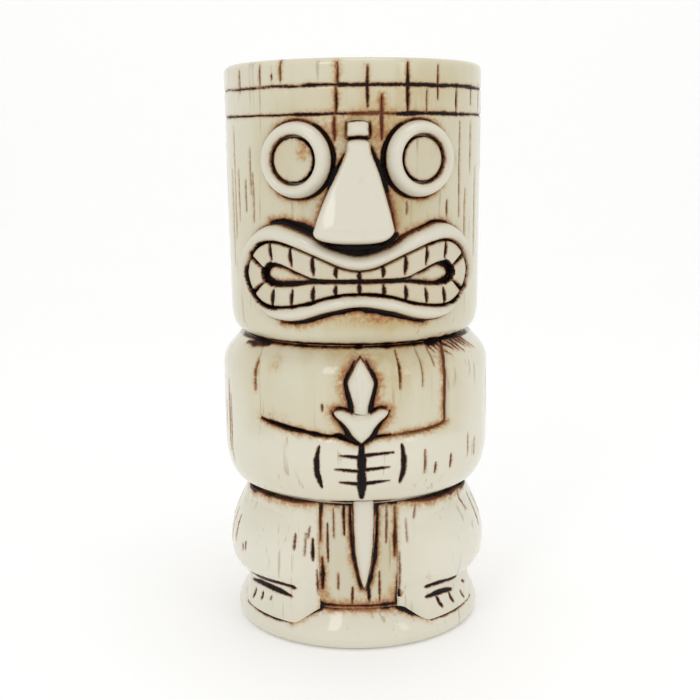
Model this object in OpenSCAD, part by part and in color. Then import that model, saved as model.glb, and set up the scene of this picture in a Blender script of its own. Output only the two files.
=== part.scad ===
// Tiki mug: a slip-cast drinking mug, built up from the clay pieces it is made of.
// Four stacked body sections (foot plate, legs, torso, head) lap into each other, and the
// carved features are sprigs that seat on the walls: the small ones in shallow recesses,
// the wrapping limbs face to face. Z is up, the face looks along -Y, and the origin is the
// centre of the flat underside. Left and right are as seen from the front.
// Outlines on the body are pairs of [arc length around the wall, height].

/* [Body sections] */
// Height of the waist above the table
leg_h = 43.5; // [40:0.5:56]
// Height from the waist to the neck
torso_h = 47; // [44:0.5:58]
// Height from the neck to the rim
head_h = 79.5; // [77:0.5:100]
// Thickness of the clay wall
wall = 4.1; // [3.2:0.1:5]

/* [Head] */
// Outer radius of the head at the rim
rim_r = 38.6; // [37:0.2:47]
// Outer radius of the head above its rounded lower corner
chin_r = 38; // [36.4:0.2:46.4]
// Radius of the rounded corner under the chin
chin_round = 5.5; // [4:0.5:7]
// Outer radius of the neck
neck_r = 33.8; // [28:0.2:36]
// Distance from the rim to the upper hat-band groove
band_drop = 7.4; // [5:0.2:9]
// Distance between the two hat-band grooves
band_gap = 7.6; // [5:0.2:9]
// Width of a hat-band groove
band_w = 1; // [0.6:0.1:2]
// Depth of a hat-band groove
band_depth = 0.6; // [0.3:0.1:1]

/* [Eyes] */
// Outer radius of an eye ring
eye_ring_r = 10.6; // [8:0.2:13]
// Inner radius of an eye ring
eye_hole_r = 6.8; // [5:0.2:7.2]
// How far the eye ring stands out of the wall
eye_proud = 3.6; // [2:0.2:5]
// How far the eye disc stands out of the wall
disc_proud = 2.4; // [1:0.2:3.4]
// Gap around the eye disc, where the dark wash gathers
disc_gap = 0.7; // [0.3:0.1:1.5]
// Arc between the two eye rings, measured around the wall
eye_spacing = 13.4; // [13:0.2:18]
// Gap between the lower hat-band groove and the top of the eye rings
brow_gap = 1.2; // [0.8:0.2:4]

/* [Nose] */
// Half width of the nose at its top
nose_top_w = 2.9; // [2:0.1:3.6]
// Half width of the nose at its lower corners
nose_foot_w = 10.4; // [7:0.2:11]
// How far the nose stands out at its top
nose_top_proud = 2.6; // [1.5:0.1:4]
// How far the nose stands out at its lower edge
nose_foot_proud = 7.6; // [5:0.2:10]
// Sideways lean of the nose's lower edge
nose_lean = -1.2; // [-1.6:0.2:1.6]
// Gap between the nose and the upper lip
nose_gap = 3.2; // [2:0.2:5]
// Height of the knob between the eyes
knob_h = 4.4; // [3:0.2:5]
// Half width of the knob
knob_w = 3; // [2:0.1:3.6]
// How far the knob stands out
knob_proud = 3; // [1.5:0.1:4]

/* [Mouth] */
// Height of the mouth's centre line above the neck
mouth_rise = 18.8; // [18:0.2:22]
// How far the lips stand out
lip_proud = 3; // [2:0.2:4.5]
// How far the teeth stand out
tooth_proud = 1.5; // [0.8:0.1:2]
// Gap between two teeth
tooth_gap = 0.8; // [0.4:0.1:1.2]

/* [Torso] */
// Outer radius of the chest and back
chest_r = 39.6; // [38.6:0.2:48]
// How far the arms stand out of the chest
arm_proud = 1.3; // [0.8:0.1:2.5]
// How far the hands stand out of the chest
hand_proud = 1.9; // [1.2:0.1:3]
// Angle from the front to the left upper arm
left_arm_front = 46.6; // [35:0.2:50]
// Angle from the front to the right upper arm
right_arm_front = 39.3; // [35:0.2:50]
// Angle from the front to the back edge of the arms
arm_back = 128; // [100:1:150]
// Angle from the front to the wrists
wrist_angle = 17; // [14:0.5:24]
// Height of the forearms' upper edge above the waist
forearm_rise = 22.4; // [20.4:0.2:26]
// Gap between the two hands, measured around the wall
hand_gap = 1.4; // [0.6:0.1:2.4]

/* [Dagger] */
// How far the dagger stands out of the wall
dagger_proud = 2.4; // [1.5:0.1:4]
// Length of the leaf above the guard
leaf_h = 16.2; // [12:0.2:18]
// Half width of the leaf at its widest
leaf_w = 4.1; // [3:0.1:6]
// Half width of the guard across its barbs
guard_w = 8.5; // [6:0.1:10]
// Half width of the blade at its widest
blade_w = 3.3; // [2.4:0.1:4.5]
// Height of the blade's point above the foot plate's seat
blade_rise = 5.2; // [3:0.2:10]

/* [Legs] */
// Outer radius of the panel between the legs
panel_r = 33.6; // [28:0.2:36]
// How far the knees stand out of the panel
knee_proud = 6.6; // [4:0.2:8]
// Angle from the front to the left leg's inner edge
left_leg_front = 21.5; // [16:0.5:28]
// Angle from the front to the right leg's inner edge
right_leg_front = 18.5; // [16:0.5:28]
// Angle from the front to the back edge of the legs
leg_back = 126; // [100:1:150]
// Height of the ankle line above the foot plate's seat
ankle_rise = 4.6; // [3:0.2:7]
// Angle from the front to the outer edge of the toes
toe_back = 74; // [60:1:90]

/* [Foot plate] */
// Radius of the flat underside
plate_foot_r = 37; // [35:0.2:39]
// Radius of the foot plate at its widest
plate_r = 38.4; // [38:0.2:42]
// Radius of the foot plate's upper edge
plate_edge_r = 37.6; // [37.2:0.2:40]
// Height of the foot plate's upper edge
plate_edge_h = 6; // [5:0.2:8]
// Height where the wall seats on the foot plate
plate_h = 11.6; // [10:0.2:13]
// Thickness of the mug's floor
floor_t = 6; // [4:0.2:7]

/* [Joints] */
// Height of the lap between two body sections
lap_h = 3; // [2:0.2:4]
// Clearance in a lap
lap_gap = 0.1; // [0.05:0.05:0.3]
// Depth of the recess that a small sprig seats in
seat = 0.5; // [0.2:0.1:1]

/* [Hidden] */
$fn = 96;
LEFT = -1;
RIGHT = 1;
// How far a cut runs past the end of the limb it trims, in degrees.
run_out = 2;

cream = [0.87, 0.85, 0.77];
cream_light = [0.91, 0.89, 0.83];
cream_tan = [0.80, 0.76, 0.62];

// Heights of the body's seams, and of the features that hang from them.
waist_z = leg_h;
neck_z = waist_z + torso_h;
rim_z = neck_z + head_h;
mouth_z = neck_z + mouth_rise;
band_z = [rim_z - band_drop, rim_z - band_drop - band_gap];
eye_z = band_z[1] - band_w / 2 - brow_gap - eye_ring_r;
ankle_z = plate_h + ankle_rise;
forearm_z = waist_z + forearm_rise;
hand_top_drop = 2.7;
hand_foot_rise = 4.8;
hand_top_z = forearm_z - hand_top_drop;
hand_foot_z = waist_z + hand_foot_rise;
// The guard's point rests on the hands.
guard_len = 8.8;
guard_z = hand_top_z + guard_len;

// The head's straight side starts above the chin, and tapers out towards the rim.
chin_z = neck_z + chin_round + 1;
face_r = radius_at(mouth_z);
eye_r = radius_at(eye_z);
eye_angle = arc_angle(eye_spacing / 2, eye_r) + asin(eye_ring_r / eye_r);
// The eyes are made this deep, and their backs are cut off by the recess floor.
eye_root_r = eye_r - seat - 3;
waist_r = panel_r;
neck_hole_r = neck_r - wall;
waist_hole_r = waist_r - wall;
neck_lap_r = neck_r - wall / 2;
waist_lap_r = waist_r - wall / 2;
far = 2 * max(rim_r, chest_r, plate_r);

function radius_at(z) = chin_r + (rim_r - chin_r) * (z - chin_z) / (rim_z - chin_z);
function arc_angle(s, r) = s / r * 180 / PI;
function arc(centre, r, from, to, steps = 6) =
    [for (k = [0 : steps]) let(a = from + (to - from) * k / steps)
        [centre.x + r * cos(a), centre.y + r * sin(a)]];

// Points given as [arc length, height] become [x, height] on a wall of radius r.
function around(points, r, z = 0) =
    [for (p = points) [r * sin(arc_angle(p.x, r)), p.y + z]];
function reversed(points) = [for (k = [len(points) - 1 : -1 : 0]) points[k]];
function both_sides(half) =
    concat(half, [for (p = reversed(half)) if (p.x > 0) [-p.x, p.y]]);
function mirrored(points) = [for (p = points) [-p.x, p.y]];
function between(a, b, c, d, t) =
    0.5 * (2 * b + (c - a) * t + (2 * a - 5 * b + 4 * c - d) * t * t
           + (3 * b - a - 3 * c + d) * t * t * t);
// A smooth closed curve through the given points.
function smooth(p, steps = 3) =
    let(n = len(p))
    [for (i = [0 : n - 1]) for (k = [0 : steps - 1])
        between(p[(i + n - 1) % n], p[i], p[(i + 1) % n], p[(i + 2) % n], k / steps)];
function strip(a, b, w) =
    let(d = (b - a) / norm(b - a), n = [-d.y, d.x] * w / 2) [a + n, b + n, b - n, a - n];

// A closed ring section, turned from one angle to another around the front (-Y).
module sector(from, to) {
    rotate([0, 0, from - 90]) rotate_extrude(angle = to - from) children();
}
module limb_sector(side, from, to) {
    sector(side == LEFT ? -to : from, side == LEFT ? -from : to) children();
}
// An outline in [x, height], pushed through the front half of the mug.
module through_front() {
    rotate([90, 0, 0]) linear_extrude(far) children();
}

// ---- Body profiles: [radius, height] ----
head_profile = concat(
    [[neck_lap_r + lap_gap, neck_z]],
    arc([chin_r - chin_round, chin_z], chin_round, -78, 0),
    arc([rim_r - wall / 2, rim_z - wall / 2], wall / 2, 0, 180, 10),
    [[chin_r - wall, chin_z + 2], [neck_hole_r, neck_z + lap_h + 1],
     [neck_hole_r, neck_z + lap_h + lap_gap], [neck_lap_r + lap_gap, neck_z + lap_h + lap_gap]]);

// Height of the chamfers at the shoulder and under the arms.
shoulder_h = 7;
under_h = 11.5;
function torso_side(proud) =
    let(r = chest_r + proud, step = r - waist_r)
    [[waist_r, waist_z], [waist_r + 0.36 * step, waist_z + 2.5],
     [waist_r + 0.72 * step, waist_z + 5.4], [waist_r + 0.91 * step, waist_z + 8.2],
     [r, waist_z + under_h], [r, neck_z - shoulder_h + 0.3],
     [r - 0.14 * (r - neck_r), neck_z - shoulder_h + 1.6], [neck_r, neck_z]];
torso_profile = concat(
    [[waist_lap_r + lap_gap, waist_z]],
    torso_side(0),
    [[neck_lap_r, neck_z], [neck_lap_r, neck_z + lap_h], [neck_hole_r, neck_z + lap_h],
     [neck_hole_r, neck_z], [chest_r - wall, neck_z - shoulder_h],
     [chest_r - wall, waist_z + under_h], [waist_hole_r, waist_z + lap_h + 1],
     [waist_hole_r, waist_z + lap_h + lap_gap],
     [waist_lap_r + lap_gap, waist_z + lap_h + lap_gap]]);

leg_profile = [
    [waist_lap_r + lap_gap, plate_h], [panel_r, plate_h], [waist_r, waist_z],
    [waist_lap_r, waist_z], [waist_lap_r, waist_z + lap_h], [waist_hole_r, waist_z + lap_h],
    [waist_hole_r, plate_h + lap_h + lap_gap], [waist_lap_r + lap_gap, plate_h + lap_h + lap_gap]];

plate_slope = (plate_h - plate_edge_h) / (plate_edge_r - panel_r);
function plate_top(r) = plate_edge_h + (plate_edge_r - r) * plate_slope;
plate_profile = [
    [0, 0], [plate_foot_r, 0], [plate_r - 0.3, 1], [plate_r, 2.4], [plate_r - 0.2, 4.2],
    [plate_edge_r, plate_edge_h], [panel_r, plate_h], [waist_lap_r, plate_h],
    [waist_lap_r, plate_h + lap_h], [waist_hole_r, plate_h + lap_h],
    [waist_hole_r, floor_t + 2], [waist_hole_r - 2, floor_t], [0, floor_t]];

// ---- Mouth outlines: right half from the top centre round to the bottom centre ----
lip_outer = [[0, 7.2], [8.2, 9.4], [13.1, 12.3], [18.7, 14.5], [23.4, 15.7], [28.1, 15],
             [33, 12.2], [36.6, 8.2], [38.4, 3.7], [38.2, 0.2], [36, -3.4], [32.3, -7.3],
             [27.2, -10.7], [22.1, -11.7], [16.9, -11.3], [12.2, -9.9], [8.2, -8.7], [0, -7.3]];
lip_inner = [[0, 2.9], [4.7, 3.7], [9.5, 5.7], [14.2, 7.7], [19.7, 9.7], [24.9, 10.7],
             [29.4, 9.9], [33.4, 6.7], [35.6, 2.2], [35, -1.2], [32.8, -4.5], [29.6, -6.9],
             [25.6, -7.9], [19.9, -7.5], [14.2, -6.3], [9.5, -4.8], [4.7, -3.8], [0, -3.6]];
mouth_slit = [[0, 0.35], [13.3, 0.5], [17, 2.2], [22.8, 4.3], [26.5, 4.2], [28.9, 1.8],
              [28.4, -0.2], [24.6, -1.6], [19, -1.3], [13.3, -0.5], [0, -0.35]];
upper_cuts = [0, 6.4, 12.8, 19.4, 26];
lower_cuts = [0, 6.5, 12.9, 19.3, 25.6];
// The corner teeth lie between two lines that fan out of the corners of the mouth.
corner_apex = [25.6, 1.2];
corner_top = [40, 9.4];
corner_foot = [40, -8.4];
split_bend = [13.3, 0];
mouth_reach = 20;

module mouth_outline(half) {
    polygon(around(smooth(both_sides(half)), face_r, mouth_z));
}
module tooth_cuts() {
    for (side = [LEFT, RIGHT]) {
        for (s = upper_cuts) polygon(around(
            strip([side * s, 0], [side * s, mouth_reach], tooth_gap), face_r, mouth_z));
        for (s = lower_cuts) polygon(around(
            strip([side * s, -mouth_reach], [side * s, 0], tooth_gap), face_r, mouth_z));
        for (end = [corner_top, corner_foot]) polygon(around(
            strip([side * corner_apex.x, corner_apex.y], [side * end.x, end.y], tooth_gap),
            face_r, mouth_z));
    }
}
module upper_region() {
    split = [[0, 0], split_bend, corner_apex, corner_top, [corner_top.x, mouth_reach],
             [0, mouth_reach]];
    polygon(around(both_sides(split), face_r, mouth_z));
}
module lower_region() {
    split = [[0, 0], split_bend, corner_apex, corner_foot, [corner_foot.x, -mouth_reach],
             [0, -mouth_reach]];
    polygon(around(both_sides(split), face_r, mouth_z));
}
module corner_region() {
    for (side = [LEFT, RIGHT]) {
        wedge = around([corner_apex, corner_top, corner_foot], face_r, mouth_z);
        polygon(side == LEFT ? mirrored(wedge) : wedge);
    }
}
// A piece on the face: its outline between the recess floor and a given height.
module on_face(proud) {
    difference() {
        intersection() {
            through_front() children();
            translate([0, 0, neck_z]) cylinder(h = head_h, r = face_r + proud);
        }
        face_core();
    }
}
module face_core() {
    translate([0, 0, neck_z]) cylinder(h = chin_z - neck_z, r = chin_r - seat);
    translate([0, 0, chin_z])
        cylinder(h = rim_z - chin_z, r1 = chin_r - seat, r2 = rim_r - seat);
}
module teeth() {
    on_face(tooth_proud) difference() {
        intersection() {
            mouth_outline(lip_inner);
            children();
        }
        mouth_outline(mouth_slit);
        tooth_cuts();
    }
}

// ---- Nose outlines ----
nose_foot_z = mouth_z + lip_outer[0].y + nose_gap;
nose_corner_rise = 4.6;
nose_corner_z = nose_foot_z + nose_corner_rise;
nose_top_rise = 5.2;
nose_top_z = eye_z + nose_top_rise;
// The nose starts to widen beside the middle of the eyes, lower for larger rings.
nose_bridge_z = eye_z - 0.17 * eye_ring_r;
nose_corner_cut = 1.4;
knob_gap = 0.9;
knob_z = nose_top_z + knob_gap;
knob_corner = 0.8;
module nose_outline() {
    polygon(around([
        [-nose_top_w, nose_top_z], [nose_top_w, nose_top_z],
        [0.56 * nose_foot_w + 0.4 * nose_lean, nose_bridge_z],
        [nose_foot_w + nose_lean, nose_corner_z],
        [nose_foot_w - nose_corner_cut + nose_lean, nose_corner_z - 2.6],
        [0.45 * nose_foot_w + nose_lean, nose_foot_z],
        [-0.45 * nose_foot_w + nose_lean, nose_foot_z],
        [-nose_foot_w + nose_corner_cut + nose_lean, nose_corner_z - 2.6],
        [-nose_foot_w + nose_lean, nose_corner_z],
        [-0.56 * nose_foot_w + 0.4 * nose_lean, nose_bridge_z]], face_r));
}
// The nose seen from the side: a wedge whose front slopes out to its lower edge.
module nose_side() {
    front = -face_r;
    rotate([90, 0, 90]) translate([0, 0, -far / 2]) linear_extrude(far)
        polygon([[0, nose_top_z + 1], [front - nose_top_proud, nose_top_z + 1],
                 [front - nose_foot_proud, nose_corner_z - 1],
                 [front - nose_foot_proud + 1.6, nose_foot_z], [0, nose_foot_z]]);
}
module knob_outline() {
    polygon(around([[-knob_w, knob_z], [knob_w, knob_z], [knob_w, knob_z + knob_h - knob_corner],
                    [knob_w - knob_corner, knob_z + knob_h],
                    [knob_corner - knob_w, knob_z + knob_h],
                    [-knob_w, knob_z + knob_h - knob_corner]], face_r));
}

// ---- Dagger outlines: right half from the top down ----
leaf_half = [[0, leaf_h], [0.59 * leaf_w, 0.78 * leaf_h], [0.93 * leaf_w, 0.62 * leaf_h],
             [leaf_w, 0.52 * leaf_h], [0.82 * leaf_w, 0.35 * leaf_h], [1.9, 0]];
guard_half = [[0, 0], [1.9, 0], [0.42 * guard_w, 0.8], [0.65 * guard_w, 1.4],
              [guard_w, 0.4], [0.9 * guard_w, -1.1], [0.68 * guard_w, -2.2],
              [0.48 * guard_w, -4.1], [0.33 * guard_w, -6.3], [0, -guard_len]];
blade_tip_z = plate_h + blade_rise;
// The blade runs up behind the torso's lower edge.
blade_tuck = 3.4;
blade_top_z = waist_z + blade_tuck;
blade_len = blade_top_z - blade_tip_z;
blade_half = [[0, blade_len], [0.97 * blade_w, blade_len], [blade_w, 0.78 * blade_len],
              [0.94 * blade_w, 0.57 * blade_len], [0.8 * blade_w, 0.37 * blade_len],
              [0.5 * blade_w, 0.17 * blade_len], [0, 0]];
module leaf_outline() {
    polygon(around(both_sides(leaf_half), chest_r, guard_z));
}
module guard_outline() {
    polygon(around(both_sides(guard_half), chest_r, guard_z));
}
module blade_outline() {
    polygon(around(both_sides(blade_half), panel_r, blade_tip_z));
}
module chest_core(inset) {
    rotate_extrude() polygon(concat([[0, waist_z]], torso_side(-inset), [[0, neck_z]]));
}
module panel_core(inset) {
    translate([0, 0, plate_h]) cylinder(h = waist_z - plate_h, r = panel_r - inset);
}
module on_chest() {
    difference() {
        intersection() {
            through_front() children();
            cylinder(h = neck_z, r = chest_r + dagger_proud);
        }
        chest_core(seat);
    }
}

// ---- Limb profiles: closed outlines of what stands out of the wall ----
arm_profile = concat(
    torso_side(arm_proud), [for (p = reversed(torso_side(0))) if (p.y > waist_z && p.y < neck_z) p]);
above_forearm = [[waist_r / 2, forearm_z], [far, forearm_z], [far, rim_z], [waist_r / 2, rim_z]];
leg_bulge = [[0.2, 0.97], [0.36, 0.76], [0.67, 0.63], [0.97, 0.38], [1, 0.27], [0.91, 0.13]];
ankle_r = panel_r + 0.6 * knee_proud;
shin_profile = concat(
    [[panel_r, ankle_z], [ankle_r, ankle_z]],
    [for (p = reversed(leg_bulge))
        [panel_r + p.x * knee_proud, ankle_z + p.y * (waist_z - ankle_z)]],
    [[panel_r, waist_z]]);
// The feet stand on the sloping top of the foot plate.
toe_inset = 0.3;
heel_proud = 0.6;
instep_inset = 0.5;
toe_r = plate_edge_r - toe_inset;
heel_r = panel_r + heel_proud;
instep_r = ankle_r - instep_inset;
toe_profile = [[panel_r, plate_h], [toe_r, plate_top(toe_r)], [toe_r, plate_top(toe_r) + 3],
               [toe_r - 0.8, ankle_z - 1.4], [instep_r, ankle_z], [panel_r, ankle_z]];
outside_heel = [[heel_r, 0], [heel_r, plate_h], [heel_r + 1.2, plate_h + 1.6],
                [instep_r + 0.3, ankle_z], [instep_r + 0.3, waist_z], [far, waist_z], [far, 0]];

// ---- Pieces ----
module base_plate() {
    color(cream) rotate_extrude() polygon(plate_profile);
}
module leg_wall() {
    color(cream_tan) difference() {
        rotate_extrude() polygon(leg_profile);
        difference() {
            through_front() blade_outline();
            panel_core(seat);
        }
    }
}
module torso_wall() {
    color(cream) difference() {
        rotate_extrude() polygon(torso_profile);
        difference() {
            through_front() {
                leaf_outline();
                guard_outline();
            }
            chest_core(seat);
        }
    }
}
module head_wall() {
    color(cream) difference() {
        rotate_extrude() polygon(head_profile);
        difference() {
            union() {
                through_front() {
                    mouth_outline(lip_outer);
                    nose_outline();
                    knob_outline();
                }
                for (side = [LEFT, RIGHT]) eye_axis(side) cylinder(h = far, r = eye_ring_r);
            }
            face_core();
        }
        for (z = band_z) difference() {
            translate([0, 0, z - band_w / 2]) cylinder(h = band_w, r = far);
            translate([0, 0, z - band_w]) cylinder(h = 2 * band_w, r = radius_at(z) - band_depth);
        }
    }
}
// Things on an eye's own axis, which points straight out of the wall.
module eye_axis(side) {
    translate([0, 0, eye_z]) rotate([90, 0, side * eye_angle]) children();
}
module eye_ring(side) {
    top = eye_r + eye_proud;
    color(cream_light) difference() {
        eye_axis(side) rotate_extrude() polygon([
            [eye_hole_r, eye_root_r], [eye_ring_r, eye_root_r], [eye_ring_r, top - 2.2],
            [eye_ring_r - 0.6, top - 0.8], [eye_ring_r - 1.6, top],
            [eye_hole_r + 1, top - 0.2], [eye_hole_r, top - 1]]);
        face_core();
    }
}
module eye_disc(side) {
    top = eye_r + disc_proud;
    disc_r = eye_hole_r - disc_gap;
    color(cream_tan) difference() {
        eye_axis(side) rotate_extrude() polygon([
            [0, eye_root_r], [disc_r, eye_root_r], [disc_r, top - 0.4],
            [disc_r - 0.5, top], [0, top]]);
        face_core();
    }
}
module nose() {
    color(cream_light) difference() {
        intersection() {
            through_front() nose_outline();
            nose_side();
        }
        face_core();
    }
}
module nose_knob() {
    color(cream_light) on_face(knob_proud) knob_outline();
}
module lips() {
    color(cream_light) on_face(lip_proud) difference() {
        mouth_outline(lip_outer);
        mouth_outline(lip_inner);
    }
}
module upper_teeth() {
    color(cream_light) teeth() upper_region();
}
module lower_teeth() {
    color(cream_light) teeth() lower_region();
}
module corner_teeth() {
    color(cream_light) teeth() corner_region();
}
module dagger_leaf() {
    color(cream_light) on_chest() leaf_outline();
}
module dagger_guard() {
    color(cream_light) on_chest() guard_outline();
}
module dagger_blade() {
    color(cream_light) difference() {
        intersection() {
            through_front() blade_outline();
            cylinder(h = neck_z, r = panel_r + dagger_proud);
        }
        panel_core(seat);
        chest_core(0);
    }
}
module arm(side) {
    front = side == LEFT ? left_arm_front : right_arm_front;
    color(cream) difference() {
        limb_sector(side, wrist_angle, arm_back) polygon(arm_profile);
        limb_sector(side, wrist_angle - run_out, front) polygon(above_forearm);
    }
}
module hand(side) {
    r = chest_r + hand_proud;
    color(cream_light) difference() {
        limb_sector(side, arc_angle(hand_gap / 2, chest_r), wrist_angle)
            polygon([[0, hand_foot_z], [r - 2.4, hand_foot_z], [r - 0.7, hand_foot_z + 1.4],
                     [r, hand_foot_z + 3.6], [r, hand_top_z - 1.4], [r - 0.6, hand_top_z],
                     [0, hand_top_z]]);
        chest_core(0);
    }
}
module leg(side) {
    front = side == LEFT ? left_leg_front : right_leg_front;
    color(cream) limb_sector(side, front, leg_back) polygon(shin_profile);
}
module foot(side) {
    front = side == LEFT ? left_leg_front : right_leg_front;
    color(cream_light) difference() {
        limb_sector(side, front, leg_back) polygon(toe_profile);
        limb_sector(side, toe_back, leg_back + run_out) polygon(outside_heel);
    }
}

base_plate();
leg_wall();
torso_wall();
head_wall();
eye_ring(LEFT);  // left_eye_ring
eye_ring(RIGHT);  // right_eye_ring
eye_disc(LEFT);  // left_eye_disc
eye_disc(RIGHT);  // right_eye_disc
nose();
nose_knob();
lips();
upper_teeth();
lower_teeth();
corner_teeth();
dagger_leaf();
dagger_guard();
dagger_blade();
arm(LEFT);  // left_arm
arm(RIGHT);  // right_arm
hand(LEFT);  // left_hand
hand(RIGHT);  // right_hand
leg(LEFT);  // left_leg
leg(RIGHT);  // right_leg
foot(LEFT);  // left_foot
foot(RIGHT);  // right_foot
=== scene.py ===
# %% [markdown]
# # A carved tiki mug in glazed clay
# The mug is slip-cast stoneware: a tall hollow body, with a face, arms, a dagger and legs laid on
# as clay sprigs, a brown wash rubbed into every cut, and a glossy clear glaze over all of it.
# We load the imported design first, because every clay piece has to sit where the design says.

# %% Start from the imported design
import math
import bpy
import numpy as np
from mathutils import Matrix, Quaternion, Vector
from mathutils.geometry import delaunay_2d_cdt


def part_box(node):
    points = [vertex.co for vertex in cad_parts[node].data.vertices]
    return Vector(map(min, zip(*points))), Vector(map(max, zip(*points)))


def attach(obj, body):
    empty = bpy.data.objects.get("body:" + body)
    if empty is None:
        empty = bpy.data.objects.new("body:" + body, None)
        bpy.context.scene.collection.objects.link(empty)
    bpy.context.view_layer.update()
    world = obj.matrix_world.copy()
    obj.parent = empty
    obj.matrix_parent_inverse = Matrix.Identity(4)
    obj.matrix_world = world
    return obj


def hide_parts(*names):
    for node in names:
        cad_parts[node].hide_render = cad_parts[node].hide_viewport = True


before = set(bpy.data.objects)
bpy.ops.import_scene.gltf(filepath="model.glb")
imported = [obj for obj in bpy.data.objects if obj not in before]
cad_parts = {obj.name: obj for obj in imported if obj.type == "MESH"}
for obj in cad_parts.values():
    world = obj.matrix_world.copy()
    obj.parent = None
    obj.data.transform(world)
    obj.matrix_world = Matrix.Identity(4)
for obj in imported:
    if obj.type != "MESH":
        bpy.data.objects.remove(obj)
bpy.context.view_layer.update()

MM = 0.001

# %% [markdown]
# ## Heights and radii
# A potter works from a few marks on the wheel: where the waist and the neck are, and how wide the
# clay is there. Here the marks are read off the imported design, so that the visual body and the
# design agree, and everything else is measured from them.

# %% Marks taken from the design, in millimetres
def design_box(node):
    low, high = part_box(node)
    return np.array(low) / MM, np.array(high) / MM


rim_z = design_box("head_wall")[1][2]
neck_z = design_box("head_wall")[0][2]
waist_z = design_box("torso_wall")[0][2]
seat_z = design_box("leg_wall")[0][2]
rim_r = design_box("head_wall")[1][0]
chest_r = design_box("torso_wall")[1][0]
panel_r = design_box("leg_wall")[1][0]
plate_r = design_box("base_plate")[1][0]
wall_t = 4.1
face_r = 38.2
eye_low, eye_high = design_box("left_eye_ring")
eye_z = (eye_low[2] + eye_high[2]) / 2
eye_ring_r = (eye_high[2] - eye_low[2]) / 2
eye_arc = 17.4
mouth_z = neck_z + 18.8
print("rim", rim_z, "neck", neck_z, "waist", waist_z, "eye", round(eye_z, 1))

# %% [markdown]
# ## Profiles of the body
# A lathe shape needs only its profile: pairs of radius and height. Corners on clay are never
# sharp, so each corner is cut back and rounded with a small curve before it is used.

# %% Rounded profiles
def rounded(points, reach, steps=6):
    """Rounds each inner corner of an open profile with a curve that starts `reach` from it."""
    points = [np.array(p, float) for p in points]
    out = [points[0]]
    for before, corner, after in zip(points, points[1:], points[2:]):
        a, b = before - corner, after - corner
        cut = min(reach, np.linalg.norm(a) * 0.45, np.linalg.norm(b) * 0.45)
        a, b = corner + a / np.linalg.norm(a) * cut, corner + b / np.linalg.norm(b) * cut
        for t in np.linspace(0, 1, steps):
            out.append((1 - t) ** 2 * a + 2 * t * (1 - t) * corner + t * t * b)
    out.append(points[-1])
    return np.array(out)


def even(points, step):
    """The same line with points at even steps."""
    points = np.asarray(points, float)
    run = np.concatenate([[0], np.cumsum(np.linalg.norm(np.diff(points, axis=0), axis=1))])
    keep = np.concatenate([[True], np.diff(run) > 1e-6])
    where = np.linspace(0, run[-1], max(2, int(math.ceil(run[-1] / step)) + 1))
    return np.column_stack([np.interp(where, run[keep], points[keep, k]) for k in (0, 1)])


head_out = rounded([(33.6, neck_z), (35.6, neck_z + 1.1), (37.3, neck_z + 3.3), (38, neck_z + 6.8),
                    (rim_r, rim_z - 6), (rim_r, rim_z - 2)], 3)
torso_out = rounded([(33.2, waist_z), (36.2, waist_z + 2.3), (38.3, waist_z + 5.8),
                     (chest_r, waist_z + 11.5), (chest_r, neck_z - 6.4), (33.9, neck_z)], 3.4)
leg_out = rounded([(panel_r, seat_z - 0.4), (panel_r, waist_z)], 1)
PLATE_EDGE = (37.2, 6.4)
plate_out = rounded([(36.2, 0), (37.6, 0.5), (plate_r, 2.4), (38, 4.6), PLATE_EDGE,
                     (panel_r, seat_z)], 1.1)


def radius_at(profile, z):
    return np.interp(z, profile[:, 1], profile[:, 0])


# %% [markdown]
# ## Throwing the walls with Geometry Nodes
# Each wall is a surface of revolution, so its shape follows a rule: point (column, row) lies at
# the profile's row point, turned by the column's angle. A node tree makes a grid, looks up the
# row's point on a profile line and turns it round the axis. The columns are closer together at
# the front, where the carving is, and one tree throws all four walls and the goggle eyes.

# %% Small helpers for node trees
def add_node(tree, kind, place=(0, 0), **settings):
    node = tree.nodes.new(kind)
    node.location = place
    for key, value in settings.items():
        setattr(node, key, value)
    return node


def math_node(tree, operation, a, b=None):
    """One math node: a and b are numbers or sockets, and its output comes back."""
    node = add_node(tree, "ShaderNodeMath", operation=operation)
    for socket, value in zip(node.inputs, (a, b)):
        if value is None:
            continue
        if isinstance(value, (int, float)):
            socket.default_value = value
        else:
            tree.links.new(value, socket)
    return node.outputs[0]


def new_geometry_tree(name, sizes):
    """A geometry tree with a Geometry input and output and the named inputs in `sizes`."""
    tree = bpy.data.node_groups.new(name, "GeometryNodeTree")
    tree.interface.new_socket("Geometry", in_out="INPUT", socket_type="NodeSocketGeometry")
    for socket_name, socket_type in sizes:
        tree.interface.new_socket(socket_name, in_out="INPUT", socket_type=socket_type)
    tree.interface.new_socket("Geometry", in_out="OUTPUT", socket_type="NodeSocketGeometry")
    return tree, add_node(tree, "NodeGroupInput"), add_node(tree, "NodeGroupOutput")


def run_tree(name, tree, mesh, values):
    """Evaluates a tree on a mesh and returns the result as a plain object."""
    source = bpy.data.objects.new(name + "_source", mesh)
    bpy.context.scene.collection.objects.link(source)
    modifier = source.modifiers.new("tree", "NODES")
    modifier.node_group = tree
    for item in tree.interface.items_tree:
        if item.item_type == "SOCKET" and item.in_out == "INPUT" and item.name in values:
            modifier[item.identifier] = values[item.name]
    bpy.context.view_layer.update()
    graph = bpy.context.evaluated_depsgraph_get()
    made = bpy.data.meshes.new_from_object(source.evaluated_get(graph), depsgraph=graph)
    bpy.data.objects.remove(source)
    made.name = name
    return made


def line_object(name, points):
    """A hidden line mesh, used as a template by a tree."""
    mesh = bpy.data.meshes.new(name)
    mesh.from_pydata([(x * MM, 0, z * MM) for x, z in points], [], [])
    return bpy.data.objects.new(name, mesh)


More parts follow.
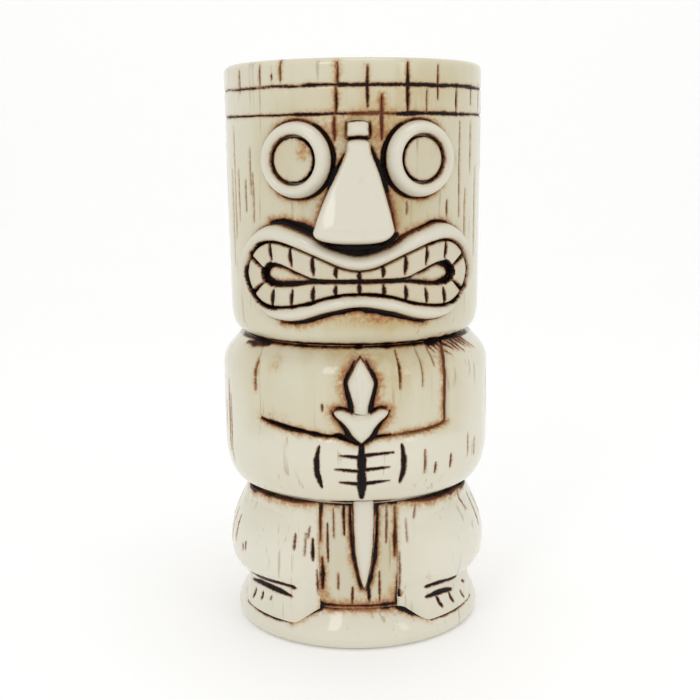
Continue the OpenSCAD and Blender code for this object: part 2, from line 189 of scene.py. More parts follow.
def round_the_axis(tree, radius, turn, height):
    """The place at a radius, at a turn from the front and at a height, as one vector."""
    join = add_node(tree, "ShaderNodeCombineXYZ")
    tree.links.new(math_node(tree, "MULTIPLY", radius, math_node(tree, "SINE", turn)),
                   join.inputs["X"])
    back = math_node(tree, "MULTIPLY", radius, math_node(tree, "COSINE", turn))
    tree.links.new(math_node(tree, "MULTIPLY", back, -1), join.inputs["Y"])
    tree.links.new(height, join.inputs["Z"])
    return join.outputs[0]


def give_clay(tree, geometry, clay, result):
    """The end of a tree: makes its geometry real and puts the clay's material on it."""
    real = add_node(tree, "GeometryNodeRealizeInstances")
    tree.links.new(geometry, real.inputs[0])
    glaze = add_node(tree, "GeometryNodeSetMaterial")
    tree.links.new(real.outputs[0], glaze.inputs["Geometry"])
    tree.links.new(clay, glaze.inputs["Material"])
    tree.links.new(glaze.outputs[0], result.inputs[0])


# %% The wheel: a tree that throws a closed wall from a profile
FRONT_DENSITY = 0.6
WELD_GAP = 1e-6


def make_wheel():
    tree, given, result = new_geometry_tree("potters_wheel", [
        ("Profile", "NodeSocketObject"), ("Rows", "NodeSocketInt"), ("Columns", "NodeSocketInt"),
        ("Front density", "NodeSocketFloat"), ("Clay", "NodeSocketMaterial")])
    grid = add_node(tree, "GeometryNodeMeshGrid")
    tree.links.new(math_node(tree, "ADD", given.outputs["Columns"], 1), grid.inputs["Vertices X"])
    tree.links.new(given.outputs["Rows"], grid.inputs["Vertices Y"])
    index = add_node(tree, "GeometryNodeInputIndex").outputs[0]
    row = math_node(tree, "MODULO", index, given.outputs["Rows"])
    column = math_node(tree, "FLOOR", math_node(tree, "DIVIDE", index, given.outputs["Rows"]))
    # t runs from -1 to 1 round the wheel, and a cubic share spreads the columns at the back.
    t = math_node(tree, "SUBTRACT", math_node(
        tree, "MULTIPLY", math_node(tree, "DIVIDE", column, given.outputs["Columns"]), 2), 1)
    share = given.outputs["Front density"]
    cubic = math_node(tree, "MULTIPLY", math_node(tree, "SUBTRACT", 1, share),
                      math_node(tree, "POWER", t, 3))
    turn = math_node(tree, "MULTIPLY", math_node(
        tree, "ADD", math_node(tree, "MULTIPLY", share, t), cubic), math.pi)
    info = add_node(tree, "GeometryNodeObjectInfo")
    tree.links.new(given.outputs["Profile"], info.inputs["Object"])
    sample = add_node(tree, "GeometryNodeSampleIndex", data_type="FLOAT_VECTOR")
    place = add_node(tree, "GeometryNodeInputPosition")
    tree.links.new(info.outputs["Geometry"], sample.inputs["Geometry"])
    tree.links.new(place.outputs[0], sample.inputs["Value"])
    tree.links.new(row, sample.inputs["Index"])
    split = add_node(tree, "ShaderNodeSeparateXYZ")
    tree.links.new(sample.outputs[0], split.inputs[0])
    where = round_the_axis(tree, split.outputs["X"], turn, split.outputs["Z"])
    move = add_node(tree, "GeometryNodeSetPosition")
    tree.links.new(grid.outputs["Mesh"], move.inputs["Geometry"])
    tree.links.new(where, move.inputs["Position"])
    weld = add_node(tree, "GeometryNodeMergeByDistance")
    weld.inputs["Distance"].default_value = WELD_GAP
    tree.links.new(move.outputs[0], weld.inputs["Geometry"])
    give_clay(tree, weld.outputs[0], given.outputs["Clay"], result)
    return tree


wheel = make_wheel()


def throw(name, profile, columns, clay, density=FRONT_DENSITY):
    """Throws a closed profile (its last point meets its first) into a closed wall."""
    closed = np.vstack([profile, profile[:1]])
    template = line_object(name + "_profile", closed)
    mesh = run_tree(name, wheel, bpy.data.meshes.new(name + "_blank"), {
        "Profile": template, "Rows": len(closed), "Columns": columns,
        "Front density": density, "Clay": clay})
    bpy.data.objects.remove(template)
    return mesh


# %% [markdown]
# ## Working the clay flat, then wrapping it
# A sprig is cut from a flat slab and then pressed round the body. So each carved piece is built
# flat, in arc length, height and depth, where distances are easy to measure, and a second tree
# wraps the slab round the axis. `Radius` is the radius at which the slab keeps its length.

# %% The wrap tree
def make_wrap():
    tree, given, result = new_geometry_tree("wrap_slab", [
        ("Radius", "NodeSocketFloat"), ("Clay", "NodeSocketMaterial")])
    split = add_node(tree, "ShaderNodeSeparateXYZ")
    tree.links.new(add_node(tree, "GeometryNodeInputPosition").outputs[0], split.inputs[0])
    radius = given.outputs["Radius"]
    turn = math_node(tree, "DIVIDE", split.outputs["X"], radius)
    reach = math_node(tree, "SUBTRACT", radius, split.outputs["Y"])
    move = add_node(tree, "GeometryNodeSetPosition")
    tree.links.new(given.outputs["Geometry"], move.inputs["Geometry"])
    tree.links.new(round_the_axis(tree, reach, turn, split.outputs["Z"]), move.inputs["Position"])
    give_clay(tree, move.outputs[0], given.outputs["Clay"], result)
    return tree


wrap = make_wrap()

# %% [markdown]
# ## Cuts, and the wash that stays in them
# Every carved line is a short list of points on the flat clay, with a width that tapers at its
# ends. From all lines together each vertex gets four numbers: how deep the clay is cut, how far
# the vertex is from the edge of the inked area, how dark that ink is, and how strong the
# orange-brown halo is that the wash leaves beside the line. The material reads the last three.
# A few of these lines, under the nose and round the waist, are also painted shade below an overhang.

# %% Distances on the flat clay
def smoothstep(x):
    x = np.clip(x, 0, 1)
    return x * x * (3 - 2 * x)


def drift(x, seed, size):
    """Smooth one-dimensional noise between -1 and 1, the same on every run."""
    table = np.random.default_rng(seed).uniform(-1, 1, 512)
    x = np.asarray(x, float) / size + 200
    low = np.floor(x).astype(int)
    t = smoothstep(x - low)
    return table[low % 512] * (1 - t) + table[(low + 1) % 512] * t


def to_line(points, line, closed=False):
    """Distance from each point to a polyline, and where along it (0 to 1) the nearest spot is."""
    line = np.asarray(line, float)
    if closed:
        line = np.vstack([line, line[:1]])
    best = np.full(len(points), 1e9)
    along = np.zeros(len(points))
    run = np.concatenate([[0], np.cumsum(np.linalg.norm(np.diff(line, axis=0), axis=1))])
    for k in range(len(line) - 1):
        a, d = line[k], line[k + 1] - line[k]
        size = max(d @ d, 1e-12)
        t = np.clip(((points - a) @ d) / size, 0, 1)
        gap = np.linalg.norm(points - a - t[:, None] * d, axis=1)
        closer = gap < best
        best[closer] = gap[closer]
        along[closer] = (run[k] + t[closer] * math.sqrt(size)) / run[-1]
    return best, along


def inside(points, outline):
    """True for points within a closed outline."""
    x, y = points[:, 0], points[:, 1]
    hit = np.zeros(len(points), bool)
    for (x1, y1), (x2, y2) in zip(outline, np.roll(outline, -1, axis=0)):
        if y1 == y2:
            continue
        cross = (y1 > y) != (y2 > y)
        hit ^= cross & (x < (x2 - x1) * (y - y1) / (y2 - y1) + x1)
    return hit


class Cut:
    """One carved line: points, width (one number or one for each end and the middle), depth,
    darkness of the ink from 0 (brown) to 1 (black), and the halo's strength and reach."""

    def __init__(self, points, width, depth=0.45, tone=1.0, halo=0.35, reach=1.2, ragged=0.25,
                 closed=False, seed=1):
        self.points = np.array(points, float)
        self.widths = [width] if np.isscalar(width) else list(width)
        self.depth, self.tone, self.halo, self.reach = depth, tone, halo, reach
        self.ragged, self.closed, self.seed = ragged, closed, seed


FAR_FROM_INK = 6.0


def lay(points, cuts):
    """Depth, ink edge, ink tone and halo at each flat point (arc, height) in millimetres."""
    depth, halo = np.zeros(len(points)), np.zeros(len(points))
    edge, tone = np.full(len(points), FAR_FROM_INK), np.zeros(len(points))
    for cut in cuts:
        margin = max(cut.widths) + 3 * cut.reach + 0.5
        low, high = cut.points.min(0) - margin, cut.points.max(0) + margin
        near = np.nonzero(((points > low) & (points < high)).all(1))[0]
        if not len(near):
            continue
        gap, along = to_line(points[near], cut.points, cut.closed)
        stops = np.linspace(0, 1, len(cut.widths))
        width = np.interp(along, stops, cut.widths) if len(cut.widths) > 1 else cut.widths[0]
        if len(cut.widths) == 1 and not cut.closed:
            width = width * (0.25 + 0.75 * np.sqrt(np.clip(np.minimum(along, 1 - along) * 3, 0, 1)))
        span = np.linalg.norm(np.diff(cut.points, axis=0), axis=1).sum()
        width = width * (1 + cut.ragged * drift(along * span, cut.seed, 2.4))
        side = gap - width / 2
        darker = side < edge[near]
        tone[near[darker]] = cut.tone
        edge[near] = np.minimum(edge[near], side)
        sink = cut.depth * smoothstep(1 - gap / (width / 2 + 0.35))
        depth[near] = np.maximum(depth[near], sink)
        glow = cut.halo * np.exp(-np.clip(side, 0, None) / (0.62 * cut.reach))
        halo[near] = np.maximum(halo[near], glow)
    return depth, edge, tone, halo


def store(mesh, **fields):
    """Puts one number per vertex on the mesh, under each given name."""
    for name, values in fields.items():
        layer = mesh.attributes.get(name) or mesh.attributes.new(name, "FLOAT", "POINT")
        layer.data.foreach_set("value", np.asarray(values, np.float32))


FOLD = math.radians(48)


def coordinates(mesh):
    flat = np.empty(len(mesh.vertices) * 3)
    mesh.vertices.foreach_get("co", flat)
    return flat.reshape(-1, 3) / MM


def finish_piece(name, mesh, nodes):
    """Names a piece, shades it smooth and puts it in the design's frame."""
    mesh.name = name
    mesh.shade_smooth()
    mesh.set_sharp_from_angle(angle=FOLD)
    piece = bpy.data.objects.new(name, mesh)
    bpy.context.scene.collection.objects.link(piece)
    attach(piece, "root")
    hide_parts(*nodes)
    print(f"{name}: {len(mesh.vertices)} vertices, {len(mesh.polygons)} faces")
    return piece


# %% [markdown]
# ## The finish: cream clay, brown wash, clear glaze
# One node group works out the wash for every piece. It takes the numbers stored on the mesh and
# breaks their edges up with noise, so the ink looks brushed and wiped. The glaze is a clear coat
# in the material itself, over clay that is a little rough.

# %% The brown wash group
INK_BLACK = (0.0035, 0.0012, 0.0006, 1)
INK_BROWN = (0.105, 0.026, 0.008, 1)
STAIN = (0.23, 0.068, 0.014, 1)
HALO_TAN = (0.49, 0.315, 0.120, 1)
HALO_RUST = (0.33, 0.105, 0.020, 1)
CREAM = (0.668, 0.632, 0.484, 1)
WHITE_CREAM = (0.745, 0.712, 0.600, 1)
TAN = (0.530, 0.425, 0.215, 1)
SCRATCH_BROWN = (0.30, 0.20, 0.09, 1)


def make_wash():
    group = bpy.data.node_groups.new("brown_wash", "ShaderNodeTree")
    for name in ("Clay", "Tan clay", "Lighter clay"):
        group.interface.new_socket(name, in_out="INPUT", socket_type="NodeSocketColor")
    for name in ("Ink edge", "Ink tone", "Halo", "Tan", "Wiped and painted light", "Grain"):
        group.interface.new_socket(name, in_out="INPUT", socket_type="NodeSocketFloat")
    for name, kind in (("Color", "NodeSocketColor"), ("Ink", "NodeSocketFloat"),
                       ("Height", "NodeSocketFloat")):
        group.interface.new_socket(name, in_out="OUTPUT", socket_type=kind)
    given, result = add_node(group, "NodeGroupInput"), add_node(group, "NodeGroupOutput")
    link = group.links.new
    place = add_node(group, "ShaderNodeTexCoord").outputs["Object"]

    def noise(scale, detail=3.0, stretch=None):
        where = place
        if stretch:
            mapping = add_node(group, "ShaderNodeMapping")
            mapping.inputs["Scale"].default_value = stretch
            link(place, mapping.inputs["Vector"])
            where = mapping.outputs[0]
        node = add_node(group, "ShaderNodeTexNoise")
        node.inputs["Scale"].default_value = scale
        node.inputs["Detail"].default_value = detail
        link(where, node.inputs["Vector"])
        return node.outputs[0]

    def ramp(value, low, high):
        node = add_node(group, "ShaderNodeMapRange", interpolation_type="SMOOTHSTEP")
        link(value, node.inputs["Value"])
        node.inputs["From Min"].default_value = low
        node.inputs["From Max"].default_value = high
        return node.outputs["Result"]

    def mix(amount, a, b, blend="MIX"):
        node = add_node(group, "ShaderNodeMix", data_type="RGBA", blend_type=blend)
        factor = node.inputs[0]
        colour_a, colour_b = [s for s in node.inputs if s.type == "RGBA"][:2]
        if isinstance(amount, float):
            factor.default_value = amount
        else:
            link(amount, factor)
        for socket, value in ((colour_a, a), (colour_b, b)):
            if isinstance(value, tuple):
                socket.default_value = value
            else:
                link(value, socket)
        return [s for s in node.outputs if s.type == "RGBA"][0]

    def plus(a, b):
        return math_node(group, "ADD", a, b)

    def minus(a, b):
        return math_node(group, "SUBTRACT", a, b)

    def times(a, b):
        return math_node(group, "MULTIPLY", a, b)

    # Broad tan patches where the wash was wiped thin, broken by soft vertical streaks.
    patches = ramp(noise(34, 4.0), 0.36, 0.72)
    streaks = ramp(noise(150, 3.0, (1, 1, 0.10)), 0.42, 0.74)
    tan = times(given.outputs["Tan"],
                plus(times(patches, 0.60), plus(times(streaks, 0.35), 0.15)))
    colour = mix(math_node(group, "MINIMUM", tan, 1.0), given.outputs["Clay"],
                 given.outputs["Tan clay"])
    # Lighter clay where the wash is wiped off raised clay, and painted light on the legs, the feet,
    # the arms and the plate.
    colour = mix(given.outputs["Wiped and painted light"], colour, given.outputs["Lighter clay"])
    # Fine grain: thin vertical scratches that hold a little wash.
    scratch = ramp(noise(640, 2.0, (1, 1, 0.05)), 0.60, 0.68)
    grain = times(scratch, given.outputs["Grain"])
    grain = times(grain, ramp(noise(55, 2.0), 0.46, 0.60))
    colour = mix(times(grain, 0.55), colour, SCRATCH_BROWN)
    # The halo creeps out from the cuts: rust beside them, fading to tan, in ragged blotches.
    blotch = minus(plus(times(noise(330, 6.0), 1.5), times(noise(950, 3.0), 2.0)), 0.85)
    halo = times(given.outputs["Halo"], blotch)
    colour = mix(times(ramp(halo, 0.03, 0.52), 0.82), colour, HALO_TAN)
    colour = mix(times(ramp(halo, 0.26, 0.95), 0.92), colour, HALO_RUST)
    # The ink itself: a red-brown stain at its ragged edge, near black in the middle; under the nose
    # and round the waist it is also painted shade.
    edge = plus(given.outputs["Ink edge"], times(minus(noise(1100, 3.0), 0.5), 0.60))
    strength = ramp(given.outputs["Ink tone"], -0.25, 0.50)
    stain = times(minus(1.0, ramp(edge, -0.02, 0.44)), strength)
    colour = mix(times(stain, 0.80), colour, STAIN)
    ink = minus(1.0, ramp(edge, -0.14, 0.14))
    fade = plus(given.outputs["Ink tone"], times(minus(noise(220, 3.0), 0.5), 0.8))
    fade = minus(fade, times(ramp(edge, -0.50, 0.05), 0.50))
    dark = mix(ramp(fade, 0.25, 0.70), INK_BROWN, INK_BLACK)
    opacity = times(ink, strength)
    colour = mix(opacity, colour, dark)
    link(colour, result.inputs["Color"])
    link(opacity, result.inputs["Ink"])
    # Soft unevenness of hand-dipped glaze.
    height = plus(noise(70, 2.0), times(noise(420, 2.0), 0.10))
    link(minus(height, times(grain, 0.12)), result.inputs["Height"])
    return group


wash = make_wash()


# %% The glazes
COAT_ROUGHNESS, COAT_IOR, CLAY_SPECULAR = 0.07, 1.5, 0.12
DIP_BUMP, DIP_DEPTH = 0.35, 0.0006


def make_glaze(name, clay, clean_clay, tan_amount, grain):
    """A clay under the wash and a clear coat, which the ink makes rougher and duller."""
    material = bpy.data.materials.new(name)
    material.use_nodes = True
    tree = material.node_tree
    shader = next(n for n in tree.nodes if n.type == "BSDF_PRINCIPLED")
    group = add_node(tree, "ShaderNodeGroup", (-500, 0), node_tree=wash)
    group.inputs["Clay"].default_value = clay
    group.inputs["Tan clay"].default_value = TAN
    group.inputs["Lighter clay"].default_value = clean_clay
    group.inputs["Grain"].default_value = grain
    for row, (field, socket) in enumerate((("ink_edge", "Ink edge"), ("ink_tone", "Ink tone"),
                                           ("halo", "Halo"), ("clean", "Wiped and painted light"))):
        reader = add_node(tree, "ShaderNodeAttribute", (-1000, -180 * row), attribute_name=field)
        tree.links.new(reader.outputs["Fac"], group.inputs[socket])
    reader = add_node(tree, "ShaderNodeAttribute", (-1000, -800), attribute_name="tan")
    tan = math_node(tree, "MULTIPLY", reader.outputs["Fac"], tan_amount)
    tree.links.new(tan, group.inputs["Tan"])
    tree.links.new(group.outputs["Color"], shader.inputs["Base Color"])
    for socket, on_clay, on_ink, row in (("Roughness", 0.34, 0.55, -300),
                                         ("Coat Weight", 0.85, 0.12, -450)):
        span = add_node(tree, "ShaderNodeMapRange", (-200, row))
        tree.links.new(group.outputs["Ink"], span.inputs["Value"])
        span.inputs["To Min"].default_value = on_clay
        span.inputs["To Max"].default_value = on_ink
        tree.links.new(span.outputs["Result"], shader.inputs[socket])
    bump = add_node(tree, "ShaderNodeBump", (-200, -600))
    bump.inputs["Strength"].default_value = DIP_BUMP
    bump.inputs["Distance"].default_value = DIP_DEPTH
    tree.links.new(group.outputs["Height"], bump.inputs["Height"])
    tree.links.new(bump.outputs["Normal"], shader.inputs["Normal"])
    shader.inputs["Specular IOR Level"].default_value = CLAY_SPECULAR
    shader.inputs["Coat Roughness"].default_value = COAT_ROUGHNESS
    shader.inputs["Coat IOR"].default_value = COAT_IOR
    return material


body_glaze = make_glaze("glazed_clay", CREAM, WHITE_CREAM, 1.0, 0.8)
panel_glaze = make_glaze("washed_clay", (0.63, 0.59, 0.455, 1), WHITE_CREAM, 0.55, 1.0)
sprig_glaze = make_glaze("sprig_clay", (0.650, 0.600, 0.475, 1), (0.690, 0.655, 0.545, 1), 0.6, 0.15)
print("glazes made")

# %% [markdown]
# ## The carved lines of the head
# Two hat bands run round the head, crossed by short upright cuts like the grain of split wood.
# Heights are in millimetres above the table and positions across are arc lengths on the face.

# %% Lines on the head
DEG = math.pi / 180


def face_arc(degrees):
    return degrees * DEG * face_r


def upright(degrees, top, foot, width, lean=0.0, **look):
    """A cut that runs down the clay from top to foot, with a small sway of its own."""
    arc = face_arc(degrees)
    sway = 0.12 * (1 if int(abs(degrees) * 10) % 2 else -1)
    return Cut([(arc, top), (arc + sway + lean * 0.5, (top + foot) / 2), (arc + lean, foot)],
               width, **look)


band_high, band_low = rim_z - 7.4, rim_z - 15


def hat_band(height, seed, faded):
    """A groove round the whole head in long dashes, worn to brown between two angles."""
    rng = np.random.default_rng(seed)
    cuts, angle = [], -180.0
    while angle < 180:
        span = rng.uniform(9, 24)
        middle = angle + span / 2
        stops = np.linspace(angle, min(angle + span, 180), 8)
        line = [(face_arc(a), height + 0.16 * float(drift(a, seed + 3, 9))) for a in stops]
        width = rng.uniform(0.95, 1.15) if -18 < middle < 62 else rng.uniform(0.55, 0.8)
        tone = 0.3 if faded[0] < middle < faded[1] else 1.0
        cuts.append(Cut(line, [width * 0.7, width, width * 0.75], depth=0.5, tone=tone,
                        halo=0.75 if tone < 1 else 0.40, reach=1.2, ragged=0.28,
                        seed=int(rng.integers(1, 99))))
        angle += span - rng.uniform(-0.5, 0.3)
    return cuts


NOT_FADED = (200, 201)
head_cuts = hat_band(band_high, 11, NOT_FADED) + hat_band(band_low, 29, (-14, 20))
head_cuts += [
    upright(-58.5, 167.7, 161.4, 0.4, tone=0.6), upright(-44, 168.7, 162.8, 0.4, tone=0.6),
    upright(-37.4, 165.9, 164.5, 0.5, tone=0.6), upright(-33, 170, 164, 0.45, tone=0.25, halo=0.7),
    upright(-8.3, 168.6, 162.4, 0.55, tone=0.45, halo=0.8, reach=1.6),
    upright(-8.9, 162.2, 155.4, 0.75, tone=0.8, halo=0.7, reach=1.4),
    upright(4, 167.8, 156.6, 0.75, tone=0.8, halo=0.4),
    upright(9.8, 160, 148.0, 0.8, tone=0.55, halo=0.9, reach=1.8),
    upright(-9.6, 154.4, 147.9, 0.75, tone=0.55, halo=0.9, reach=1.6),
    upright(21, 168.6, 155.0, 0.85, tone=0.9, halo=0.6), upright(35.8, 168.1, 158.8, 0.5, tone=0.5),
    upright(30, 161.3, 155.7, 0.4, tone=0.2, halo=0.3), upright(47.2, 162.1, 155.5, 0.6),
    upright(59.3, 161.9, 157.6, 0.45, tone=0.5), upright(69.5, 163.8, 155.6, 0.4, tone=0.4),
    upright(50, 153, 126, 0.35, tone=0.2), upright(41.6, 131, 126.5, 0.5, tone=0.3),
    upright(59.5, 153, 138, 0.35, tone=0.2), upright(-62, 140, 125, 0.32, tone=0.2),
    upright(-50.5, 139, 125, 0.35, tone=0.2), upright(-56, 137, 128, 0.4, tone=0.2),
    upright(20.5, 131, 127.5, 0.5, tone=0.2), upright(-66, 152, 120, 0.3, tone=0.2),
    upright(-52, 146, 133, 0.35, tone=0.1), upright(-70, 140, 112, 0.4, tone=0.2),
    upright(55, 134, 119, 0.4, tone=0.15), upright(66, 140, 114, 0.45, tone=0.25)]


def back_cuts(cut, seed, angles, tops, lengths, lowest, widths, tones):
    """The same kind of cuts round the sides and the back, placed by a seeded draw."""
    rng = np.random.default_rng(seed)
    cuts = []
    for angle in angles:
        a = (angle + rng.uniform(-3, 3) + 180) % 360 - 180
        top = rng.uniform(*tops)
        foot = max(top - rng.uniform(*lengths), lowest)
        cuts.append(cut(a, top, foot, rng.uniform(*widths), tone=rng.uniform(*tones)))
    return cuts


head_cuts += back_cuts(upright, 5, np.arange(76, 285, 7.5), (120, 166), (5, 30), 97, (0.4, 0.9),
                       (0.2, 0.95))
print(len(head_cuts), "cuts on the head")


# %% [markdown]
# ## Outlines of the sprigs on the face
# The mouth is the widest piece: its lips run from the chin almost to the ears. Only half of each
# outline is listed, from the top centre down to the bottom centre, and mirrored for the rest.

# %% Outlines
def through(points, closed=True, steps=6):
    """A smooth curve through the given points."""
    p = np.array(points, float)
    n = len(p)
    out = []
    for i in range(n if closed else n - 1):
        a, b, c, d = (p[(i + k) % n] if closed else p[min(max(i + k, 0), n - 1)]
                      for k in (-1, 0, 1, 2))
        for t in np.arange(steps) / steps:
            out.append(0.5 * (2 * b + (c - a) * t + (2 * a - 5 * b + 4 * c - d) * t ** 2
                              + (3 * b - a - 3 * c + d) * t ** 3))
    if not closed:
        out.append(p[-1])
    return np.array(out)


def mirror_half(half):
    half = np.array(half, float)
    other = half[::-1] * (-1, 1)
    return np.vstack([half, [q for q in other if abs(q[0]) > 1e-6]])


def lift(points, height):
    return np.array(points, float) + (0, height)


lip_outer = lift(through(mirror_half([
    (0, 7.2), (8.2, 9.4), (13.1, 12.3), (18.7, 14.5), (23.4, 15.7), (28.1, 15), (33, 12.2),
    (36.6, 8.2), (38.4, 3.7), (38.2, 0.2), (36, -3.4), (32.3, -7.3), (27.2, -10.7),
    (22.1, -11.7), (16.9, -11.3), (12.2, -9.9), (8.2, -8.7), (0, -7.3)])), mouth_z)
lip_inner = lift(through(mirror_half([
    (0, 2.9), (4.7, 3.7), (9.5, 5.7), (14.2, 7.7), (19.7, 9.7), (24.9, 10.7), (29.4, 9.9),
    (33.4, 6.7), (35.6, 2.2), (35, -1.2), (32.8, -4.5), (29.6, -6.9), (25.6, -7.9),
    (19.9, -7.5), (14.2, -6.3), (9.5, -4.8), (4.7, -3.8), (0, -3.6)])), mouth_z)
mouth_slit = lift(through(mirror_half([
    (0, 0.3), (8, 0.3), (13.3, 0.6), (17, 2.0), (22.8, 4.2), (26.5, 4.2), (28.9, 1.8),
    (28.4, -0.2), (24.6, -1.6), (19, -1.3), (13.3, -0.4), (8, -0.3), (0, -0.3)])), mouth_z)
nose_top = design_box("nose")[1][2]
nose_foot = design_box("nose")[0][2]
nose_outline = even(through([
    (-2.7, nose_top), (2.6, nose_top), (3.6, nose_top - 3.6), (5.4, nose_top - 8.6),
    (7.2, nose_top - 15.6), (8.8, nose_foot + 5), (8.8, nose_foot + 3.0), (7.2, nose_foot + 1.1),
    (4.4, nose_foot + 0.1), (-1, nose_foot - 0.2), (-6.6, nose_foot + 0.1),
    (-10.4, nose_foot + 1.1), (-11.8, nose_foot + 2.8), (-11.5, nose_foot + 5),
    (-9, nose_top - 15.6), (-5.8, nose_top - 8.6), (-3.7, nose_top - 3.6)], steps=5), 0.45)
knob_foot = nose_top + 0.9
knob_outline = even(through([
    (-3.0, knob_foot), (0, knob_foot), (2.8, knob_foot), (2.9, knob_foot + 2.3),
    (2.6, knob_foot + 4.0), (0, knob_foot + 4.5), (-2.8, knob_foot + 4.0),
    (-3.1, knob_foot + 2.3)], steps=5), 0.4)
print("lips span", round(np.ptp(lip_outer[:, 0]), 1), "mm round the face")

# %% [markdown]
# ## Cutting a sprig
# A sprig's top is a mesh inside its outline, denser near the edge, where the clay rounds over.
# Each point's depth depends on its distance from the edge, which gives the pillowy look of a
# pressed sprig. A second, coarser sheet closes it underneath, sunk into the wall.

# %% Building a flat sprig
ROW_RATIO = 0.866
UNDER_SPACING = 1.9
NO_INK = -9.0
PLAIN_RIM = (0.28, 0.95, 0.45)


def nearest_edge(points, loops):
    return np.min([to_line(points, loop, True)[0] for loop in loops], axis=0)


def fill(outline, holes, spacing, edge_spacing, edge_zone):
    """Points and triangles inside an outline and outside its holes."""
    loops = [outline] + list(holes)
    low, high = outline.min(0), outline.max(0)

    def on_clay(spots):
        keep = inside(spots, outline)
        for hole in holes:
            keep &= ~inside(spots, hole)
        return keep

    def lattice(step):
        """Points in rows that are half a step apart in turn, and how far each is from an edge."""
        rows = []
        for k, z in enumerate(np.arange(low[1], high[1], step * ROW_RATIO)):
            x = np.arange(low[0] + (k % 2) * step / 2, high[0], step)
            rows.append(np.column_stack([x, np.full(len(x), z)]))
        grid = np.vstack(rows)
        grid = grid[on_clay(grid)]
        return grid, nearest_edge(grid, loops)

    coarse, gap = lattice(spacing)
    body = coarse[gap > max(edge_zone, spacing * 0.5)]
    fine, gap = lattice(edge_spacing)
    border = fine[(gap > edge_spacing * 0.45) & (gap <= max(edge_zone, spacing * 0.5))]
    points = np.vstack(loops + [border, body])
    edges, start = [], 0
    for loop in loops:
        n = len(loop)
        edges += [(start + k, start + (k + 1) % n) for k in range(n)]
        start += n
    verts, _, faces, *_ = delaunay_2d_cdt([Vector(p) for p in points], edges, [], 0, 1e-7)
    verts = np.array([tuple(v) for v in verts])
    faces = np.array([f for f in faces if len(f) == 3])
    return verts, faces[on_clay(verts[faces].mean(1))]


def rim_loops(faces):
    """The border edges of a sheet, each in its face's own direction."""
    seen = {}
    for a, b, c in faces.tolist():
        for e in ((a, b), (b, c), (c, a)):
            seen[e] = True
    return [(a, b) for a, b in seen if (b, a) not in seen]


def make_sprig(name, outline, relief, base, clay, nodes, radius, holes=(), spacing=0.9,
               edge_spacing=0.45, edge_zone=2.0, sunk=0.9, cuts=(), fields=None, rim_ink=None):
    """Builds a sprig flat, carves it, wraps it and returns its object.
    relief(points, gap) gives the height over base(height z), gap being the distance from the edge."""
    verts, faces = fill(outline, holes, spacing, edge_spacing, edge_zone)
    loops = [outline] + list(holes)
    gap = nearest_edge(verts, loops)
    height = relief(verts, gap)
    depth, edge, tone, halo = lay(verts, cuts)
    ground = base(verts)
    top = ground + height - depth
    rim_width, rim_tone, rim_halo = rim_ink(verts) if rim_ink else PLAIN_RIM
    foot_edge = gap - rim_width * (1 + 0.5 * drift(verts[:, 0] + verts[:, 1], 7, 2.3))
    closer = foot_edge < edge
    tone = np.where(closer, rim_tone, tone)
    edge = np.minimum(edge, foot_edge)
    halo = np.maximum(halo, rim_halo * np.exp(-gap / 0.7))
    clean = smoothstep(gap / 2.2)
    tan = np.full(len(verts), 0.5)
    if fields:
        given = fields(verts, gap)
        halo = np.maximum(halo, given.get("halo", 0))
        tan, clean = given.get("tan", tan), given.get("clean", clean)
        edge, tone = given.get("edge", edge), given.get("tone", tone)
    n = len(verts)
    under, under_faces = fill(outline, holes, UNDER_SPACING, UNDER_SPACING, 0.0)
    under_top = base(under) - sunk
    # Stitch the two sheets along their rims: the loops come first in both, in the same order.
    count = sum(len(loop) for loop in loops)
    points = np.vstack([
        np.column_stack([verts[:, 0], radius - top, verts[:, 1]]),
        np.column_stack([under[:, 0], radius - under_top, under[:, 1]])])
    walls = [(b, a, a + n, b + n) for a, b in rim_loops(faces) if a < count and b < count]
    polygons = faces.tolist() + [(c + n, b + n, a + n) for a, b, c in under_faces.tolist()] + walls
    mesh = bpy.data.meshes.new(name + "_slab")
    mesh.from_pydata((points * MM).tolist(), [], polygons)
    mesh.update()
    pad = len(under)
    store(mesh, ink_edge=np.concatenate([edge, np.full(pad, 0.2)]),
          ink_tone=np.concatenate([tone, np.full(pad, 0.9)]),
          halo=np.concatenate([halo, np.full(pad, 0.4)]),
          tan=np.concatenate([tan, np.full(pad, 0.5)]),
          clean=np.concatenate([clean, np.zeros(pad)]))
    made = run_tree(name, wrap, mesh, {"Radius": radius * MM, "Clay": clay})
    bpy.data.meshes.remove(mesh)
    return finish_piece(name, made, nodes)


def pillow(height, shoulder, crown=0.0):
    """A relief that rises over a rounded shoulder to a nearly flat top."""
    def relief(points, gap):
        t = np.clip(gap / shoulder, 0, 1)
        return height * np.sqrt(1 - (1 - t) ** 2) + crown * smoothstep(gap / (3 * shoulder))
    return relief


def on_head(points):
    return radius_at(head_out, points[:, 1])


# %% [markdown]
# ## Carving the thrown walls
# The walls come off the wheel smooth. Each outer vertex is then pushed in by the depth of the
# cuts, and takes its ink and halo from the same lines. The crevices that run round the sprigs
# belong to the wall too, because that is where the wash gathers.

# %% Throw, carve and finish a wall
INSIDE_CLEAN = 0.35


